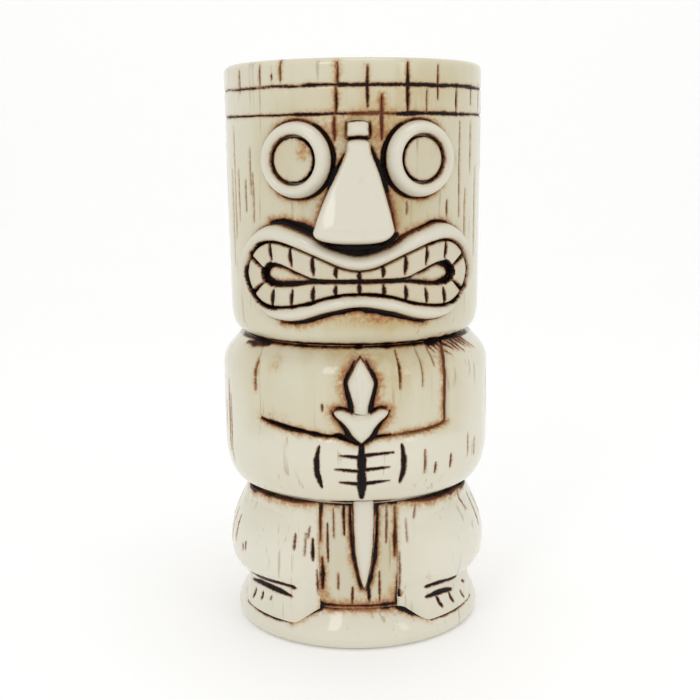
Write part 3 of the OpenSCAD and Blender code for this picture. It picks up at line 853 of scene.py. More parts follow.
def carved_wall(name, outer, inner, columns, clay, nodes, cuts, arc_radius, tones,
                step=0.44):
    """outer and inner profiles run upwards; inner is walked back down to close the ring."""
    out_line = even(outer, step)
    in_line = even(inner[::-1], 2.2)
    mesh = throw(name, np.vstack([out_line, in_line]), columns, clay)
    spots = coordinates(mesh)
    radius = np.hypot(spots[:, 0], spots[:, 1])
    turn = np.arctan2(spots[:, 0], -spots[:, 1])
    surface = radius > radius_at(outer, spots[:, 2]) - 0.05
    flat = np.column_stack([turn * arc_radius, spots[:, 2]])
    depth, edge, tone, halo = lay(flat, cuts)
    keep = surface.astype(float)
    radius_new = radius - depth * keep
    scale = np.divide(radius_new, radius, out=np.ones_like(radius), where=radius > 1e-6)
    spots[:, :2] *= scale[:, None]
    mesh.vertices.foreach_set("co", (spots * MM).ravel())
    given = tones(flat)
    store(mesh, ink_edge=np.where(surface, edge, FAR_FROM_INK), ink_tone=tone,
          halo=np.maximum(halo, given["halo"]) * keep, tan=given["tan"] * keep,
          clean=np.where(surface, given.get("clean", 0.0), INSIDE_CLEAN))
    mesh.update()
    return finish_piece(name, mesh, nodes)


def blob(flat, x, z, wide, tall):
    """A soft round patch, 1 in its middle."""
    return np.exp(-((flat[:, 0] - x) / wide) ** 2 - ((flat[:, 1] - z) / tall) ** 2)


# %% Crevices round the face sprigs
def ring_crevice(side):
    """The wash round one eye ring: thick towards the nose and below, thin outside."""
    cuts = []
    for start, end, width, tone in ((-75, 62, 1.15, 1.0), (62, 128, 0.6, 0.75),
                                    (128, 235, 0.35, 0.25), (235, 285, 0.75, 0.8)):
        angles = np.radians(np.linspace(start, end, 16))
        line = np.column_stack([side * (eye_arc - (eye_ring_r + 0.15) * np.cos(angles)),
                                eye_z + (eye_ring_r + 0.15) * np.sin(angles)])
        cuts.append(Cut(line, [width * 0.8, width, width * 0.8], depth=0.55, tone=tone, halo=0.8,
                        reach=1.7, ragged=0.2, seed=start % 50 + 3))
    return cuts


def stretch(outline, low_x, high_x, upper):
    """The part of a closed outline between two positions, on its upper or its lower side."""
    side = outline[:, 1] > mouth_z if upper else outline[:, 1] < mouth_z
    keep = outline[side & (outline[:, 0] > low_x) & (outline[:, 0] < high_x)]
    return keep[np.argsort(keep[:, 0])]


nose_cuts = [
    Cut([(-3.6, nose_top - 4), (-6.2, nose_top - 9), (-8.2, nose_top - 13)], [0.8, 2.2, 1.0],
        depth=0.5, halo=1.0, reach=2.0),
    Cut([(-8.2, nose_top - 13), (-10.6, nose_top - 19), (-12.1, nose_foot + 4)], [0.8, 0.3, 0.5],
        depth=0.3, tone=0.2, halo=1.0, reach=1.8),
    Cut([(3.4, nose_top - 2), (5.6, nose_top - 8), (7.6, nose_top - 14)], [0.7, 2.6, 1.6],
        depth=0.5, halo=0.9, reach=1.8),
    Cut([(7.6, nose_top - 14), (9.4, nose_top - 20), (9.9, nose_foot + 3)], [1.3, 0.6, 0.9],
        depth=0.4, tone=0.55, halo=1.0, reach=2.0),
    # The wide black band under the nose is partly wash and partly painted shade below the nostrils.
    Cut([(-12.6, nose_foot + 2.4), (-9, nose_foot - 0.7), (-1, nose_foot - 1.6),
         (7, nose_foot - 0.9), (10.6, nose_foot + 2.2)], [1.4, 3.4, 3.8, 3.4, 1.4], depth=0.8,
        halo=0.7, reach=1.2),
    Cut([(-3.2, knob_foot - 0.45), (3, knob_foot - 0.45)], 1.1, depth=0.4),
    Cut([(3.1, knob_foot + 4.2), (3.3, knob_foot)], 0.8, tone=0.8, halo=0.6, reach=1.4),
    Cut([(-3.2, knob_foot + 4.2), (-3.4, knob_foot)], 0.4, tone=0.3, halo=0.6, reach=1.4)]
lip_cuts = [
    Cut(stretch(lip_outer, -38, -25, True), 0.5, tone=0.3, halo=0.7, reach=1.2, ragged=0.6),
    Cut(stretch(lip_outer, -27, -9, True) + (0, 0.5), [1.0, 2.8, 4.2, 3.4], depth=0.6, halo=1.0,
        reach=1.8),
    Cut(stretch(lip_outer, -13, 13, True), [1.2, 1.6, 1.2], depth=0.6, tone=0.9, halo=0.8,
        reach=1.8),
    Cut(stretch(lip_outer, 11, 17, True), [1.6, 1.0], depth=0.5, tone=0.5, halo=0.9, reach=2.2),
    Cut(stretch(lip_outer, 16, 28, True), [0.9, 1.5, 0.9], depth=0.5, halo=0.8, reach=1.6),
    Cut(stretch(lip_outer, 26, 38, True), 0.7, tone=0.6, halo=0.6, reach=1.2, ragged=0.6),
    Cut(stretch(lip_outer, -38, -22, False), 0.35, tone=0.5, halo=0.3, reach=0.8),
    Cut(stretch(lip_outer, -24, 20, False) - (0, 0.45), [0.5, 1.3, 1.6, 1.9, 0.8], depth=0.6,
        halo=1.0, reach=1.9, ragged=0.35),
    Cut(stretch(lip_outer, 18, 38, False), 0.5, tone=0.5, halo=0.4, reach=1.0)]
slit_edge = Cut(mouth_slit, [0.8, 1.0, 2.6, 1.4, 0.8, 1.6, 2.8, 1.1, 0.8], depth=0.35, halo=0.9,
                reach=1.1, ragged=0.3, closed=True)
gum_bed = lip_inner[(lip_inner[:, 1] > mouth_z) & (np.abs(lip_inner[:, 0]) < 19)]
gum_bed = gum_bed[np.argsort(gum_bed[:, 0])]
dark_bed = lip_inner[(lip_inner[:, 1] <= mouth_z) | (np.abs(lip_inner[:, 0]) >= 18)]
dark_bed = np.roll(dark_bed, -int(np.argmax(np.abs(np.diff(dark_bed[:, 0])))) - 1, axis=0)
tooth_bed = [Cut(gum_bed, 0.9, depth=0.3, tone=0.1, halo=0.7, reach=0.8, ragged=0.4),
             Cut(dark_bed, [1.6, 1.6], depth=0.3, tone=1.0, halo=0.0)]
head_cuts += ring_crevice(-1) + ring_crevice(1) + nose_cuts + lip_cuts + [slit_edge] + tooth_bed
for low, high, width, tone in ((-90, -52, 1.5, 0.7), (-53, -33, 0.8, 0.4), (-34, 36, 1.1, 1.0),
                               (35, 62, 1.7, 0.95), (61, 95, 1.6, 0.8), (94, 182, 1.1, 0.8),
                               (-182, -89, 1.1, 0.8)):
    head_cuts.append(Cut([(face_arc(a), neck_z + 0.2) for a in np.linspace(low, high, 9)],
                         [width * 0.8, width, width * 0.8], depth=0.2, tone=tone, halo=0.5,
                         reach=1.0, ragged=0.4, seed=abs(low)))


# %% Where the tan wash stays on the head, and the painted shade on the chin
def head_tones(flat):
    tan = 0.26 + 1.3 * blob(flat, 1, 155, 16, 10) + 0.9 * blob(flat, 12, 128, 10, 9)
    tan += 0.7 * blob(flat, -14, 130, 8, 6) + 0.5 * blob(flat, -26, 138, 7, 12)
    tan += 0.1 * blob(flat, 30, 130, 8, 18) + 0.6 * blob(flat, 22, 162, 14, 7)
    # The tan patch at height 98 and the halo at height 98.4, under the lower lip, are partly a wash
    # smear and partly painted shade on the chin.
    tan += 1.2 * blob(flat, 2, 98, 19, 4)
    halo = 0.46 * blob(flat, 0, 150, 10, 5) + 0.50 * blob(flat, 8.4, 147, 4, 7)
    halo += 0.42 * blob(flat, -8.6, 146, 3, 6) + 0.62 * blob(flat, 6, 98.4, 11, 2.0)
    halo += 0.30 * blob(flat, 24, 155.5, 14, 1.4) + 0.34 * blob(flat, -4, 155.2, 22, 1.5)
    halo += 0.30 * blob(flat, 0, 119, 12, 2)
    return {"tan": np.clip(tan, 0, 1.6), "halo": np.clip(halo, 0, 0.8),
            "clean": 0.25 * blob(flat, -30, 165, 30, 12)}


head_in = rounded([(31.7, neck_z), (31.7, neck_z + 3), (29.8, neck_z + 3.2), (29.8, neck_z + 4.4),
                   (33.9, neck_z + 8.6), (rim_r - wall_t, rim_z - 2)], 1.2)
lip_round = [(rim_r - wall_t / 2 + wall_t / 2 * math.cos(a), rim_z - 2 + 2 * math.sin(a))
             for a in np.linspace(0, math.pi, 12)]
head_shell = np.vstack([head_out[:-1], lip_round[:-1]])
carved_wall("head_wall_clay", head_shell, head_in, 400, body_glaze, ["head_wall"],
            head_cuts, face_r, head_tones)

# %% [markdown]
# ## Goggle eyes
# Each eye is a ring and a disc, both turned on the wheel like little pots and then laid on the
# face pointing straight out. The same wheel tree makes them, from a small profile, and a turn
# and a shift put them in place.

# %% Eyes
SIDES = ((-1, "left"), (1, "right"))


def turned_sprig(name, profile, columns, clay, nodes, side, fields):
    """A small thrown piece laid on the face: its own axis points straight out of the wall."""
    mesh = throw(name, profile, columns, clay, density=1.0)
    spots = coordinates(mesh)
    across, up, out = spots.T
    angle = side * eye_arc / face_r
    outward = np.array([math.sin(angle), -math.cos(angle), 0])
    sideways = np.array([math.cos(angle), math.sin(angle), 0])
    place = (outward * out[:, None] + sideways * across[:, None]
             + np.array([0, 0, 1.0]) * up[:, None] + np.array([0, 0, eye_z]))
    mesh.vertices.foreach_set("co", (place * MM).ravel())
    store(mesh, **fields(spots))
    mesh.update()
    return finish_piece(name, mesh, nodes)


ring_top = face_r + 4.0
ring_profile = even(rounded([
    (6.75, ring_top - 5.2), (6.75, ring_top - 1.5), (7.2, ring_top - 0.55), (8.2, ring_top),
    (9.2, ring_top - 0.45), (10.0, ring_top - 1.5), (eye_ring_r - 0.1, ring_top - 3.0),
    (eye_ring_r - 0.1, ring_top - 5.2)], 1.3), 0.22)[::-1]
disc_top = face_r + 2.7
disc_profile = np.vstack([
    [(0.001, face_r - 2.5)], even(rounded([(6.2, face_r - 2.5), (6.25, disc_top - 0.6),
                                           (5.8, disc_top - 0.10), (3.2, disc_top + 0.1),
                                           (0.001, disc_top + 0.15)], 0.5), 0.4)])


def ring_fields(spots):
    radius = np.hypot(spots[:, 0], spots[:, 1])
    out = spots[:, 2]
    foot = out - (face_r - 0.2)
    edge = np.minimum(radius - 6.80, (foot - 0.45) * 0.8)
    halo = 0.45 * np.exp(-np.clip(foot - 0.6, 0, None) / 0.9)
    halo += 0.25 * np.exp(-((radius - 6.75) / 0.5) ** 2)
    return {"ink_edge": edge, "ink_tone": np.full(len(out), 1.0), "halo": halo,
            "tan": np.full(len(out), 0.25), "clean": smoothstep((radius - 7.2) / 1.2) * 0.9}


def disc_fields(side):
    """The disc's wash: black at its edge, with a tan smear towards one side."""
    def fields(spots):
        radius = np.hypot(spots[:, 0], spots[:, 1])
        patch = blob(spots, 3.2, 2.2, 2.4, 3.0)
        return {"ink_edge": 5.92 - radius, "ink_tone": np.full(len(spots), 1.0),
                "halo": 0.55 * patch * (1 if side < 0 else 0.25)
                + 0.30 * np.exp(-((5.8 - radius) / 0.7) ** 2),
                "tan": 1.0 + 0.5 * patch, "clean": np.zeros(len(spots))}
    return fields


for side, label in SIDES:
    turned_sprig(f"{label}_eye_ring_clay", ring_profile, 96, sprig_glaze, [f"{label}_eye_ring"],
                 side, ring_fields)
    turned_sprig(f"{label}_eye_disc_clay", disc_profile, 80, panel_glaze, [f"{label}_eye_disc"],
                 side, disc_fields(side))


# %% [markdown]
# ## Nose and knob
# The nose is a wedge: thin between the eyes and thick at the nostrils, flat in front, with soft
# side edges. The slope is the rule, and the pillow shoulder rounds it off all round.

# %% Nose
BRIDGE_HEIGHT, NOSTRIL_RISE = 2.5, 4.9


def nose_relief(points, gap):
    slope = np.clip((nose_top - points[:, 1]) / (nose_top - nose_foot - 4), 0, 1)
    height = BRIDGE_HEIGHT + NOSTRIL_RISE * slope
    t = np.clip(gap / (1.3 + 0.7 * slope), 0, 1)
    arch = 0.35 * smoothstep(gap / 6) * slope
    return height * (1 - (1 - t) ** 2.2) ** 0.5 + arch


def nose_rim_ink_and_shade(points):
    """Thin and brown down the sides of the nose, dark under its nostrils: there partly wash and
    partly painted shade.
    """
    low = smoothstep((nose_foot + 3.2 - points[:, 1]) / 2)
    return 0.10 + 0.20 * low, 0.35 + 0.60 * low, 0.45


make_sprig("nose_clay", nose_outline, nose_relief, on_head, sprig_glaze, ["nose"],
           face_r, spacing=0.7, edge_spacing=0.35, edge_zone=2.4, rim_ink=nose_rim_ink_and_shade)
make_sprig("nose_knob_clay", knob_outline, pillow(BRIDGE_HEIGHT, 0.9, 0.2), on_head, sprig_glaze,
           ["nose_knob"], face_r, spacing=0.45, edge_spacing=0.3, edge_zone=1.0)

# %% [markdown]
# ## Lips and teeth
# The lips are one rolled coil of clay, half round, so their relief follows the distance to the
# nearer of their two edges. The teeth fill the band between the lips and the mouth: the upper row,
# the lower row and the two corner pieces are one pillow each, parted into teeth by wedge-shaped cuts.

# %% Lips
LIP_HEIGHT, LIP_SHOULDER = 3.0, 2.3
WORN_HALF = 19
lip_hole = even(lip_inner, 0.5)


def lip_rim_ink(points):
    """Black inside the corners and below, worn to tan inside the upper middle, thin outside."""
    inner = to_line(points, lip_hole, True)[0] < 0.9
    upper_middle = inner & (points[:, 1] > mouth_z) & (np.abs(points[:, 0]) < WORN_HALF)
    tone = np.where(inner, np.where(upper_middle, 0.05, 1.0), 0.45)
    return np.where(inner, np.where(upper_middle, 0.16, 0.42), 0.14), tone, 0.4


make_sprig("lips_clay", even(lip_outer, 0.5), pillow(LIP_HEIGHT, LIP_SHOULDER), on_head,
           sprig_glaze, ["lips"], face_r, holes=[lip_hole], spacing=0.45,
           edge_spacing=0.38, edge_zone=1.2, rim_ink=lip_rim_ink)

# %% Teeth
TOOTH_HEIGHT, TOOTH_SHOULDER, TOOTH_CROWN = 1.5, 0.55, 0.15
corner_apex = np.array([25.6, 1.2])
corner_top, corner_foot = np.array([40, 9.4]), np.array([40, -8.4])


def in_corner(points):
    """True beyond the two slanting cuts that part the corner teeth from the rows."""
    x, z = np.abs(points[:, 0]) - corner_apex[0], points[:, 1] - mouth_z - corner_apex[1]
    rise = (corner_top - corner_apex)[1] / (corner_top - corner_apex)[0]
    fall = (corner_foot - corner_apex)[1] / (corner_foot - corner_apex)[0]
    return (x > 0) & (z < rise * x) & (z > fall * x)


def shrink(outline, by):
    """The outline moved inwards, or outwards with a negative distance."""
    forward = np.roll(outline, -1, axis=0) - np.roll(outline, 1, axis=0)
    normal = np.column_stack([forward[:, 1], -forward[:, 0]])
    normal /= np.linalg.norm(normal, axis=1)[:, None]
    x, y = outline[:, 0], outline[:, 1]
    turn = np.sign(np.sum(x * np.roll(y, -1) - np.roll(x, -1) * y))
    return outline - normal * by * turn


def counter_clockwise(outline):
    x, y = outline[:, 0], outline[:, 1]
    area = np.sum(x * np.roll(y, -1) - np.roll(x, -1) * y)
    return outline if area > 0 else outline[::-1]


def closed_even(outline, step):
    return counter_clockwise(even(np.vstack([outline, outline[:1]]), step)[:-1])


gum_line = closed_even(shrink(closed_even(lip_inner, 0.2), 0.15), 0.2)
bite_line = closed_even(shrink(closed_even(mouth_slit, 0.2), -0.1), 0.2)


def tooth_row(upper):
    """The outline of one row: along the gum one way and back along the bite."""
    def side_of(curve):
        keep = curve[~in_corner(curve) & ((curve[:, 1] > mouth_z) == upper)]
        return keep[np.argsort(keep[:, 0])]
    return closed_even(np.vstack([side_of(gum_line), side_of(bite_line)[::-1]]), 0.38)


def corner_row(side):
    def side_of(curve):
        keep = curve[in_corner(curve) & (curve[:, 0] * side > 0)]
        return keep[np.argsort(keep[:, 1])]
    return closed_even(np.vstack([side_of(gum_line), side_of(bite_line)[::-1]]), 0.35)


def tooth_marks():
    """Wedge-shaped strokes between the teeth: from the gum almost to the bite."""
    marks = []
    for upper, stops in ((True, (0, 6.4, 12.8, 19.4, 26)), (False, (0, 6.5, 12.9, 19.3, 25.6))):
        for side in (-1, 1):
            for k, x in enumerate(stops):
                if k == 0 and side > 0:
                    continue
                row = gum_line[(gum_line[:, 1] > mouth_z) == upper]
                gum = row[np.argmin(np.abs(row[:, 0] - side * x))]
                row = bite_line[(bite_line[:, 1] > mouth_z) == upper]
                bite = row[np.argmin(np.abs(row[:, 0] - side * (x - 0.2 * k)))]
                reach = 1.0 if k == 0 else 0.80
                start = gum + (bite - gum) * (0.0 if k == 0 else 0.05)
                end = gum + (bite - gum) * reach
                marks.append(Cut([start, (start + end) / 2 + (side * 0.12, 0), end],
                                 [0.45, 1.0, 1.05, 0.35], depth=0.5, halo=0.35, reach=0.8,
                                 ragged=0.2, seed=int(x) + 3))
    for side in (-1, 1):
        for far, near in (((34.0, 6.3), (29.8, 3.6)), ((33.0, -4.2), (29.8, -1.7))):
            marks.append(Cut(lift([(side * far[0], far[1]), (side * near[0], near[1])], mouth_z),
                             [1.4, 1.3, 0.5], depth=0.5, halo=0.5, reach=0.9))
    return marks


marks = tooth_marks()


def tooth_rim_ink(points):
    """Thick ink along the bite and at the corners, none where rows meet the corner teeth."""
    bite = to_line(points, bite_line, True)[0]
    gum = to_line(points, gum_line, True)[0]
    middle = (np.abs(points[:, 0]) < WORN_HALF) & (points[:, 1] > mouth_z)
    at_bite = np.where(np.abs(points[:, 0]) > 25.5, 0.50, 0.18)
    at_gum = np.where(gum < 1.0, np.where(middle, 0.1, 0.22), NO_INK)
    width = np.where(bite < 1.0, at_bite, at_gum)
    return width, np.where((gum < 1.0) & middle, 0.15, 1.0), np.where(width > 0, 0.45, 0.0)


def tooth_fields(points, gap):
    smear = blob(points, -20, mouth_z + 1, 9, 3) + blob(points, 20, mouth_z, 7, 3)
    return {"tan": 1.1 + 0.5 * smear, "clean": 0.15 * smoothstep(gap / 1.5),
            "halo": 0.22 * smear * smoothstep(1 - gap / 2)}


rows = {"upper_teeth": [tooth_row(True)], "lower_teeth": [tooth_row(False)],
        "corner_teeth": [corner_row(-1), corner_row(1)]}
for label, outlines in rows.items():
    tooth = pillow(TOOTH_HEIGHT, TOOTH_SHOULDER, TOOTH_CROWN)
    parts = [make_sprig(f"{label}_{k}", outline, tooth, on_head, sprig_glaze, [label],
                        face_r, spacing=0.38, edge_spacing=0.33, edge_zone=0.5,
                        sunk=0.7, cuts=marks, fields=tooth_fields, rim_ink=tooth_rim_ink)
             for k, outline in enumerate(outlines)]
    if len(parts) > 1:
        with bpy.context.temp_override(active_object=parts[0], selected_editable_objects=parts):
            bpy.ops.object.join()
    parts[0].name = parts[0].data.name = label + "_clay"

# %% [markdown]
# ## The torso: chest, arms and hands
# The chest is a plain thrown wall. The arms wrap round it from the back, bend at the elbow and
# end in two fists on the dagger. One relief rule covers arm and hand together, so they run into
# each other, and the wrist line is cut where the two pieces meet.

# %% Lines on the torso
def chest_arc(degrees):
    return degrees * DEG * chest_r


def chest_cut(degrees, top, foot, width, shift=0.0, **look):
    return Cut([(chest_arc(degrees), top), (chest_arc(degrees + shift / 2), (top + foot) / 2),
                (chest_arc(degrees + shift), foot)], width, **look)


def chest_line(pairs, width, **look):
    return Cut([(chest_arc(a), z) for a, z in pairs], width, **look)


forearm_left = [(-46.6, 68.2), (-42.8, 67.8), (-36.6, 67.4), (-32.7, 66.9), (-25.6, 66.4),
                (-19, 65.7), (-14.2, 65.2), (-9.5, 65.4), (-3.4, 63.6), (-0.9, 63.0)]
forearm_right = [(0.9, 63.0), (2.4, 63.4), (5.9, 64.7), (12.1, 65.2), (20.4, 65.5),
                 (29.3, 65.8), (35.3, 66.4), (39.3, 67.2)]
leaf_half = [(0, 88.2), (1.3, 86.6), (2.4, 84.6), (3.7, 82), (4.05, 80.3), (3.3, 77.4),
             (2.5, 74.5), (1.9, 72.0)]
guard_half = [(0, 72.0), (1.9, 72.0), (3.5, 72.7), (5.4, 73.4), (7.2, 73.3), (8.3, 72.5),
              (7.5, 70.9), (5.7, 69.4), (4.1, 67.6), (2.7, 65.4), (0, 63.1)]
torso_cuts = [
    chest_cut(16.6, 89.0, 78.5, 0.55, tone=0.75, halo=0.4),
    chest_cut(33.5, 89.5, 84, 0.35, tone=0.2), chest_cut(27, 88.9, 78.7, 0.25, tone=0.1),
    chest_cut(-16.1, 74.5, 72.3, 0.5, tone=0.4),
    chest_line([(44.7, 90), (41.2, 87), (38.9, 83.5), (38.7, 76), (38.8, 67.4)],
               [0.6, 1.3, 0.7, 1.0, 1.3], tone=0.34, halo=1.1, reach=1.8, ragged=0.6),
    chest_line(forearm_left, [1.3, 1.1, 1.0, 1.3, 1.7], depth=0.5, halo=0.7, reach=1.5,
               ragged=0.45),
    chest_line(forearm_right[:4], [2.0, 1.6, 0.9], depth=0.5, halo=0.7, reach=1.5, ragged=0.45),
    chest_line(forearm_right[3:], [0.5, 0.6, 1.0, 1.5], depth=0.4, tone=0.18, halo=0.9, reach=1.5,
               ragged=0.6)]


DAGGER_SLIM = 0.943


def dagger_crevice(half, side, width, **look):
    """A line just outside the dagger's edge, on one side."""
    line = np.array(half, float) * (side * DAGGER_SLIM, 1) + (side * 0.45, 0)
    return Cut(through(line, closed=False), width, **look)


for side in (-1, 1):
    torso_cuts += [
        dagger_crevice(leaf_half[1:], side, [0.5, 1.2, 1.1, 1.5, 2.4], depth=0.55, halo=1.2,
                       reach=2.6),
        dagger_crevice(guard_half[1:5], side, [2.4, 1.2, 0.5], depth=0.5, halo=1.1, reach=1.9),
        dagger_crevice(guard_half[5:], side, [0.4, 0.9, 1.7, 2.6, 2.2], depth=0.6, halo=1.1,
                       reach=2.2)]
for low, high, width, tone in ((-182, -62, 1.0, 0.7), (-63, -48, 1.8, 0.9), (-49, 36, 0.9, 1.0),
                               (35, 64, 2.2, 0.95), (63, 182, 1.1, 0.8)):
    torso_cuts.append(Cut([(chest_arc(a), neck_z - 0.4) for a in np.linspace(low, high, 9)],
                          [width * 0.6, width, width * 0.6], depth=0.25, tone=tone, halo=0.6,
                          reach=1.4, ragged=0.5, seed=abs(low)))


def neck_strokes(side):
    """The brush's last strokes beside the neck: a fan on the right, a smear on the left."""
    if side < 0:
        return [chest_line([(-64, neck_z - 1.4), (-56, neck_z - 0.9), (-48, neck_z - 0.9)],
                           [0.5, 1.9, 0.8], depth=0.15, tone=0.55, halo=0.5, ragged=0.6)]
    return [chest_line([(34 + 3.1 * k, neck_z - 0.6), (36.6 + 3.5 * k, neck_z - 2.9 - 0.5 * (k % 3))],
                       [0.9, 0.5, 0.15], depth=0.12, tone=0.7 - 0.05 * k, halo=0.5, ragged=0.6,
                       seed=k + 1) for k in range(9)]


torso_cuts += neck_strokes(-1) + neck_strokes(1)
torso_cuts += back_cuts(chest_cut, 8, np.arange(132, 230, 8.5), (66, 88), (6, 20), waist_z,
                        (0.4, 0.8), (0.2, 0.9))


def torso_tones(flat):
    tan = 0.30 + 0.95 * blob(flat, 6, 79, 7, 9) + 0.8 * blob(flat, -7, 80, 5, 9)
    tan += 0.5 * blob(flat, -22, 88, 12, 4) + 0.55 * blob(flat, 20, 84, 12, 7)
    tan += 0.7 * blob(flat, 0, 88, 16, 2.5)
    halo = 0.55 * blob(flat, 0, 72, 9, 6) + 0.30 * blob(flat, -28, 69, 8, 3)
    halo += 0.32 * blob(flat, -27, 85, 3, 3)
    return {"tan": np.clip(tan, 0, 1.6), "halo": np.clip(halo, 0, 0.8)}


torso_in = rounded([(31.5, waist_z), (31.5, waist_z + 3), (29.6, waist_z + 3.2),
                    (29.6, waist_z + 4.4), (chest_r - wall_t, waist_z + 11.5),
                    (chest_r - wall_t, neck_z - 7), (29.8, neck_z)], 1.2)
carved_wall("torso_wall_clay", torso_out, torso_in, 400, body_glaze, ["torso_wall"],
            torso_cuts, chest_r, torso_tones)


# %% Arms and hands
ARM_PROUD = 1.35
limb_back = 127.0
wrist_turn = 17.0
sleeve_front = {-1: 46.6, 1: 39.3}


def on_torso(points):
    return radius_at(torso_out, points[:, 1])


def forearm_top(side):
    """The forearm's upper line, from the sleeve to the dagger."""
    return forearm_left if side < 0 else forearm_right[::-1]


def arm_free_edge(side):
    """The edges of an arm where it rounds down to the chest and the back."""
    outer = [(side * limb_back, waist_z + 0.6), (side * limb_back, neck_z - 0.5),
             (side * sleeve_front[side], neck_z - 0.5)]
    return [(chest_arc(a), z) for a, z in outer + forearm_top(side)]


def arm_front_edge(side):
    """The upright edge of the upper arm, which stays upright where the shoulder falls away."""
    lean = ((6.4, neck_z - 0.5), (2.9, neck_z - 3.5), (0.3, neck_z - 7.0), (0, forearm_z))
    return np.array([(chest_arc(side * (sleeve_front[side] + a)), z) for a, z in lean])


forearm_z = waist_z + 22.4
free_edges = {side: np.array(arm_free_edge(side)) for side in (-1, 1)}
front_edges = {side: arm_front_edge(side) for side in (-1, 1)}
ARM_EDGE = {-1: 9.0, 1: 1.8}


def arm_relief(side):
    """Height of one arm and hand: full in the middle, falling to each free edge."""
    def relief(points, gap):
        forearm = to_line(points, free_edges[side][3:])[0]
        front = to_line(points, front_edges[side])[0]
        behind = to_line(points, free_edges[side][:2])[0]
        rise = ARM_PROUD * np.sqrt(1 - (1 - np.clip(forearm / 3.0, 0, 1)) ** 2)
        rise *= np.sqrt(1 - (1 - np.clip(front / ARM_EDGE[side], 0, 1)) ** 2)
        rise *= smoothstep(behind / 9)
        free = np.minimum(np.minimum(forearm, front), behind)
        bulge = 0.55 * np.exp(-((points[:, 1] - 57) / 7.5) ** 2) * smoothstep(
            (chest_arc(60) - np.abs(points[:, 0])) / chest_arc(30))
        foot = 0.55 * smoothstep((points[:, 1] - waist_z) / 3)
        return 0.03 + np.minimum(rise, foot * 2.6) + bulge * smoothstep(free / 5)
    return relief


def arm_cuts(side):
    """Wrist, finger and sleeve lines of one arm, in flat clay coordinates."""
    if side < 0:
        wrist = [(-17.0, 62.6), (-17.9, 59), (-17.9, 55), (-16.5, 50.2)]
        fingers = [(60, -6.0), (56, -7.2), (52, -6.2)]
    else:
        wrist = [(16.4, 62.8), (17.0, 59), (16.9, 55.5), (15.8, 51.4)]
        fingers = [(60.6, 8.9), (56.4, 7.6), (52.2, 7.8)]
    cuts = [chest_line(wrist, 1.4, depth=0.55, halo=0.25, reach=0.7)]
    for z, reach in fingers:
        cuts.append(Cut([(side * 0.6, z - 0.5), (reach * 0.5, z - 0.15), (reach, z + 0.1)],
                        [1.1, 0.9, 0.7, 0.3], depth=0.45, halo=0.12, reach=0.5, ragged=0.35,
                        seed=int(z)))
    cuts.append(Cut([(side * 0.05, 63.4), (side * 0.05, 56), (side * 0.05, 47)],
                    [1.3, 2.0, 1.6, 2.1, 1.5], depth=0.8, halo=0.2, reach=0.6, ragged=0.45))
    cuts.append(Cut([(chest_arc(side * a), waist_z + 1.3) for a in (1, 7, 14)], [1.2, 0.9, 0.3],
                    depth=0.2, halo=0.5, reach=0.9))
    if side < 0:
        cuts += [chest_cut(-71.5, 77, 55, 0.6, tone=0.7), chest_cut(-69, 73, 52, 0.4, tone=0.3),
                 chest_cut(-48.6, 87, 76.5, 0.5, tone=0.25, halo=0.6)]
    else:
        cuts += [chest_cut(26.5, 60.3, 53.5, 0.5, tone=0.3),
                 chest_cut(31.7, 56.1, 52.9, 0.6, tone=0.4),
                 chest_cut(40, 57.6, 53.6, 0.65, tone=0.4),
                 chest_cut(58, 59.7, 54.6, 0.4, tone=0.2), chest_cut(52, 62, 55, 0.3, tone=0.15)]
    cuts += neck_strokes(side)
    edge_width = 0.9 if side < 0 else 0.5
    edge_tone = 0.9 if side < 0 else 0.15
    cuts.append(Cut(free_edges[side][3:], edge_width, depth=0.15, tone=edge_tone, halo=0.75,
                    reach=1.4, ragged=0.5))
    rng = np.random.default_rng(20 + side)
    for angle in np.arange(76, 124, 7):
        top = rng.uniform(60, 84)
        cuts.append(chest_cut(side * (angle + rng.uniform(-2, 2)), top, top - rng.uniform(5, 18),
                              rng.uniform(0.3, 0.7), tone=rng.uniform(0.15, 0.8)))
    return cuts


def no_rim_ink(points):
    """Arms and legs run into the wall, so no ink is laid along their rims."""
    return NO_INK, 0.0, 0.0


def limb_sprig(name, corners, side, node, glaze, spacing):
    """One arm or hand, cut from the same relief and the same lines."""
    outline = closed_even(np.array(corners, float), 0.5)
    cuts = arm_cuts(side)

    def fields(flat, gap):
        edge, tone, halo = lay(flat, cuts)[1:]
        tan = 0.28 + 0.3 * blob(flat, 30, 76, 12, 10) + 0.3 * blob(flat, -34, 80, 10, 10)
        inner = smoothstep(to_line(flat, front_edges[side])[0] / 10)
        low = smoothstep((forearm_z - flat[:, 1]) / 4)
        # Lighter arms and hands, lightest round the forearms and fists: partly wiped clay and partly
        # painted light where they catch the light.
        clean = (0.35 + 0.4 * blob(flat, 0, 60, 50, 10)) * np.maximum(inner, low)
        chest = torso_tones(flat)
        tan = tan * inner + chest["tan"] * (1 - inner)
        halo = np.maximum(halo, chest["halo"] * (1 - inner))
        return {"tan": np.clip(tan, 0, 1), "clean": clean,
                "edge": edge, "tone": tone, "halo": halo}

    return make_sprig(name, outline, arm_relief(side), on_torso, glaze, [node], chest_r,
                      spacing=spacing, edge_spacing=spacing, edge_zone=0.0, sunk=0.8,
                      cuts=cuts, fields=fields, rim_ink=no_rim_ink)


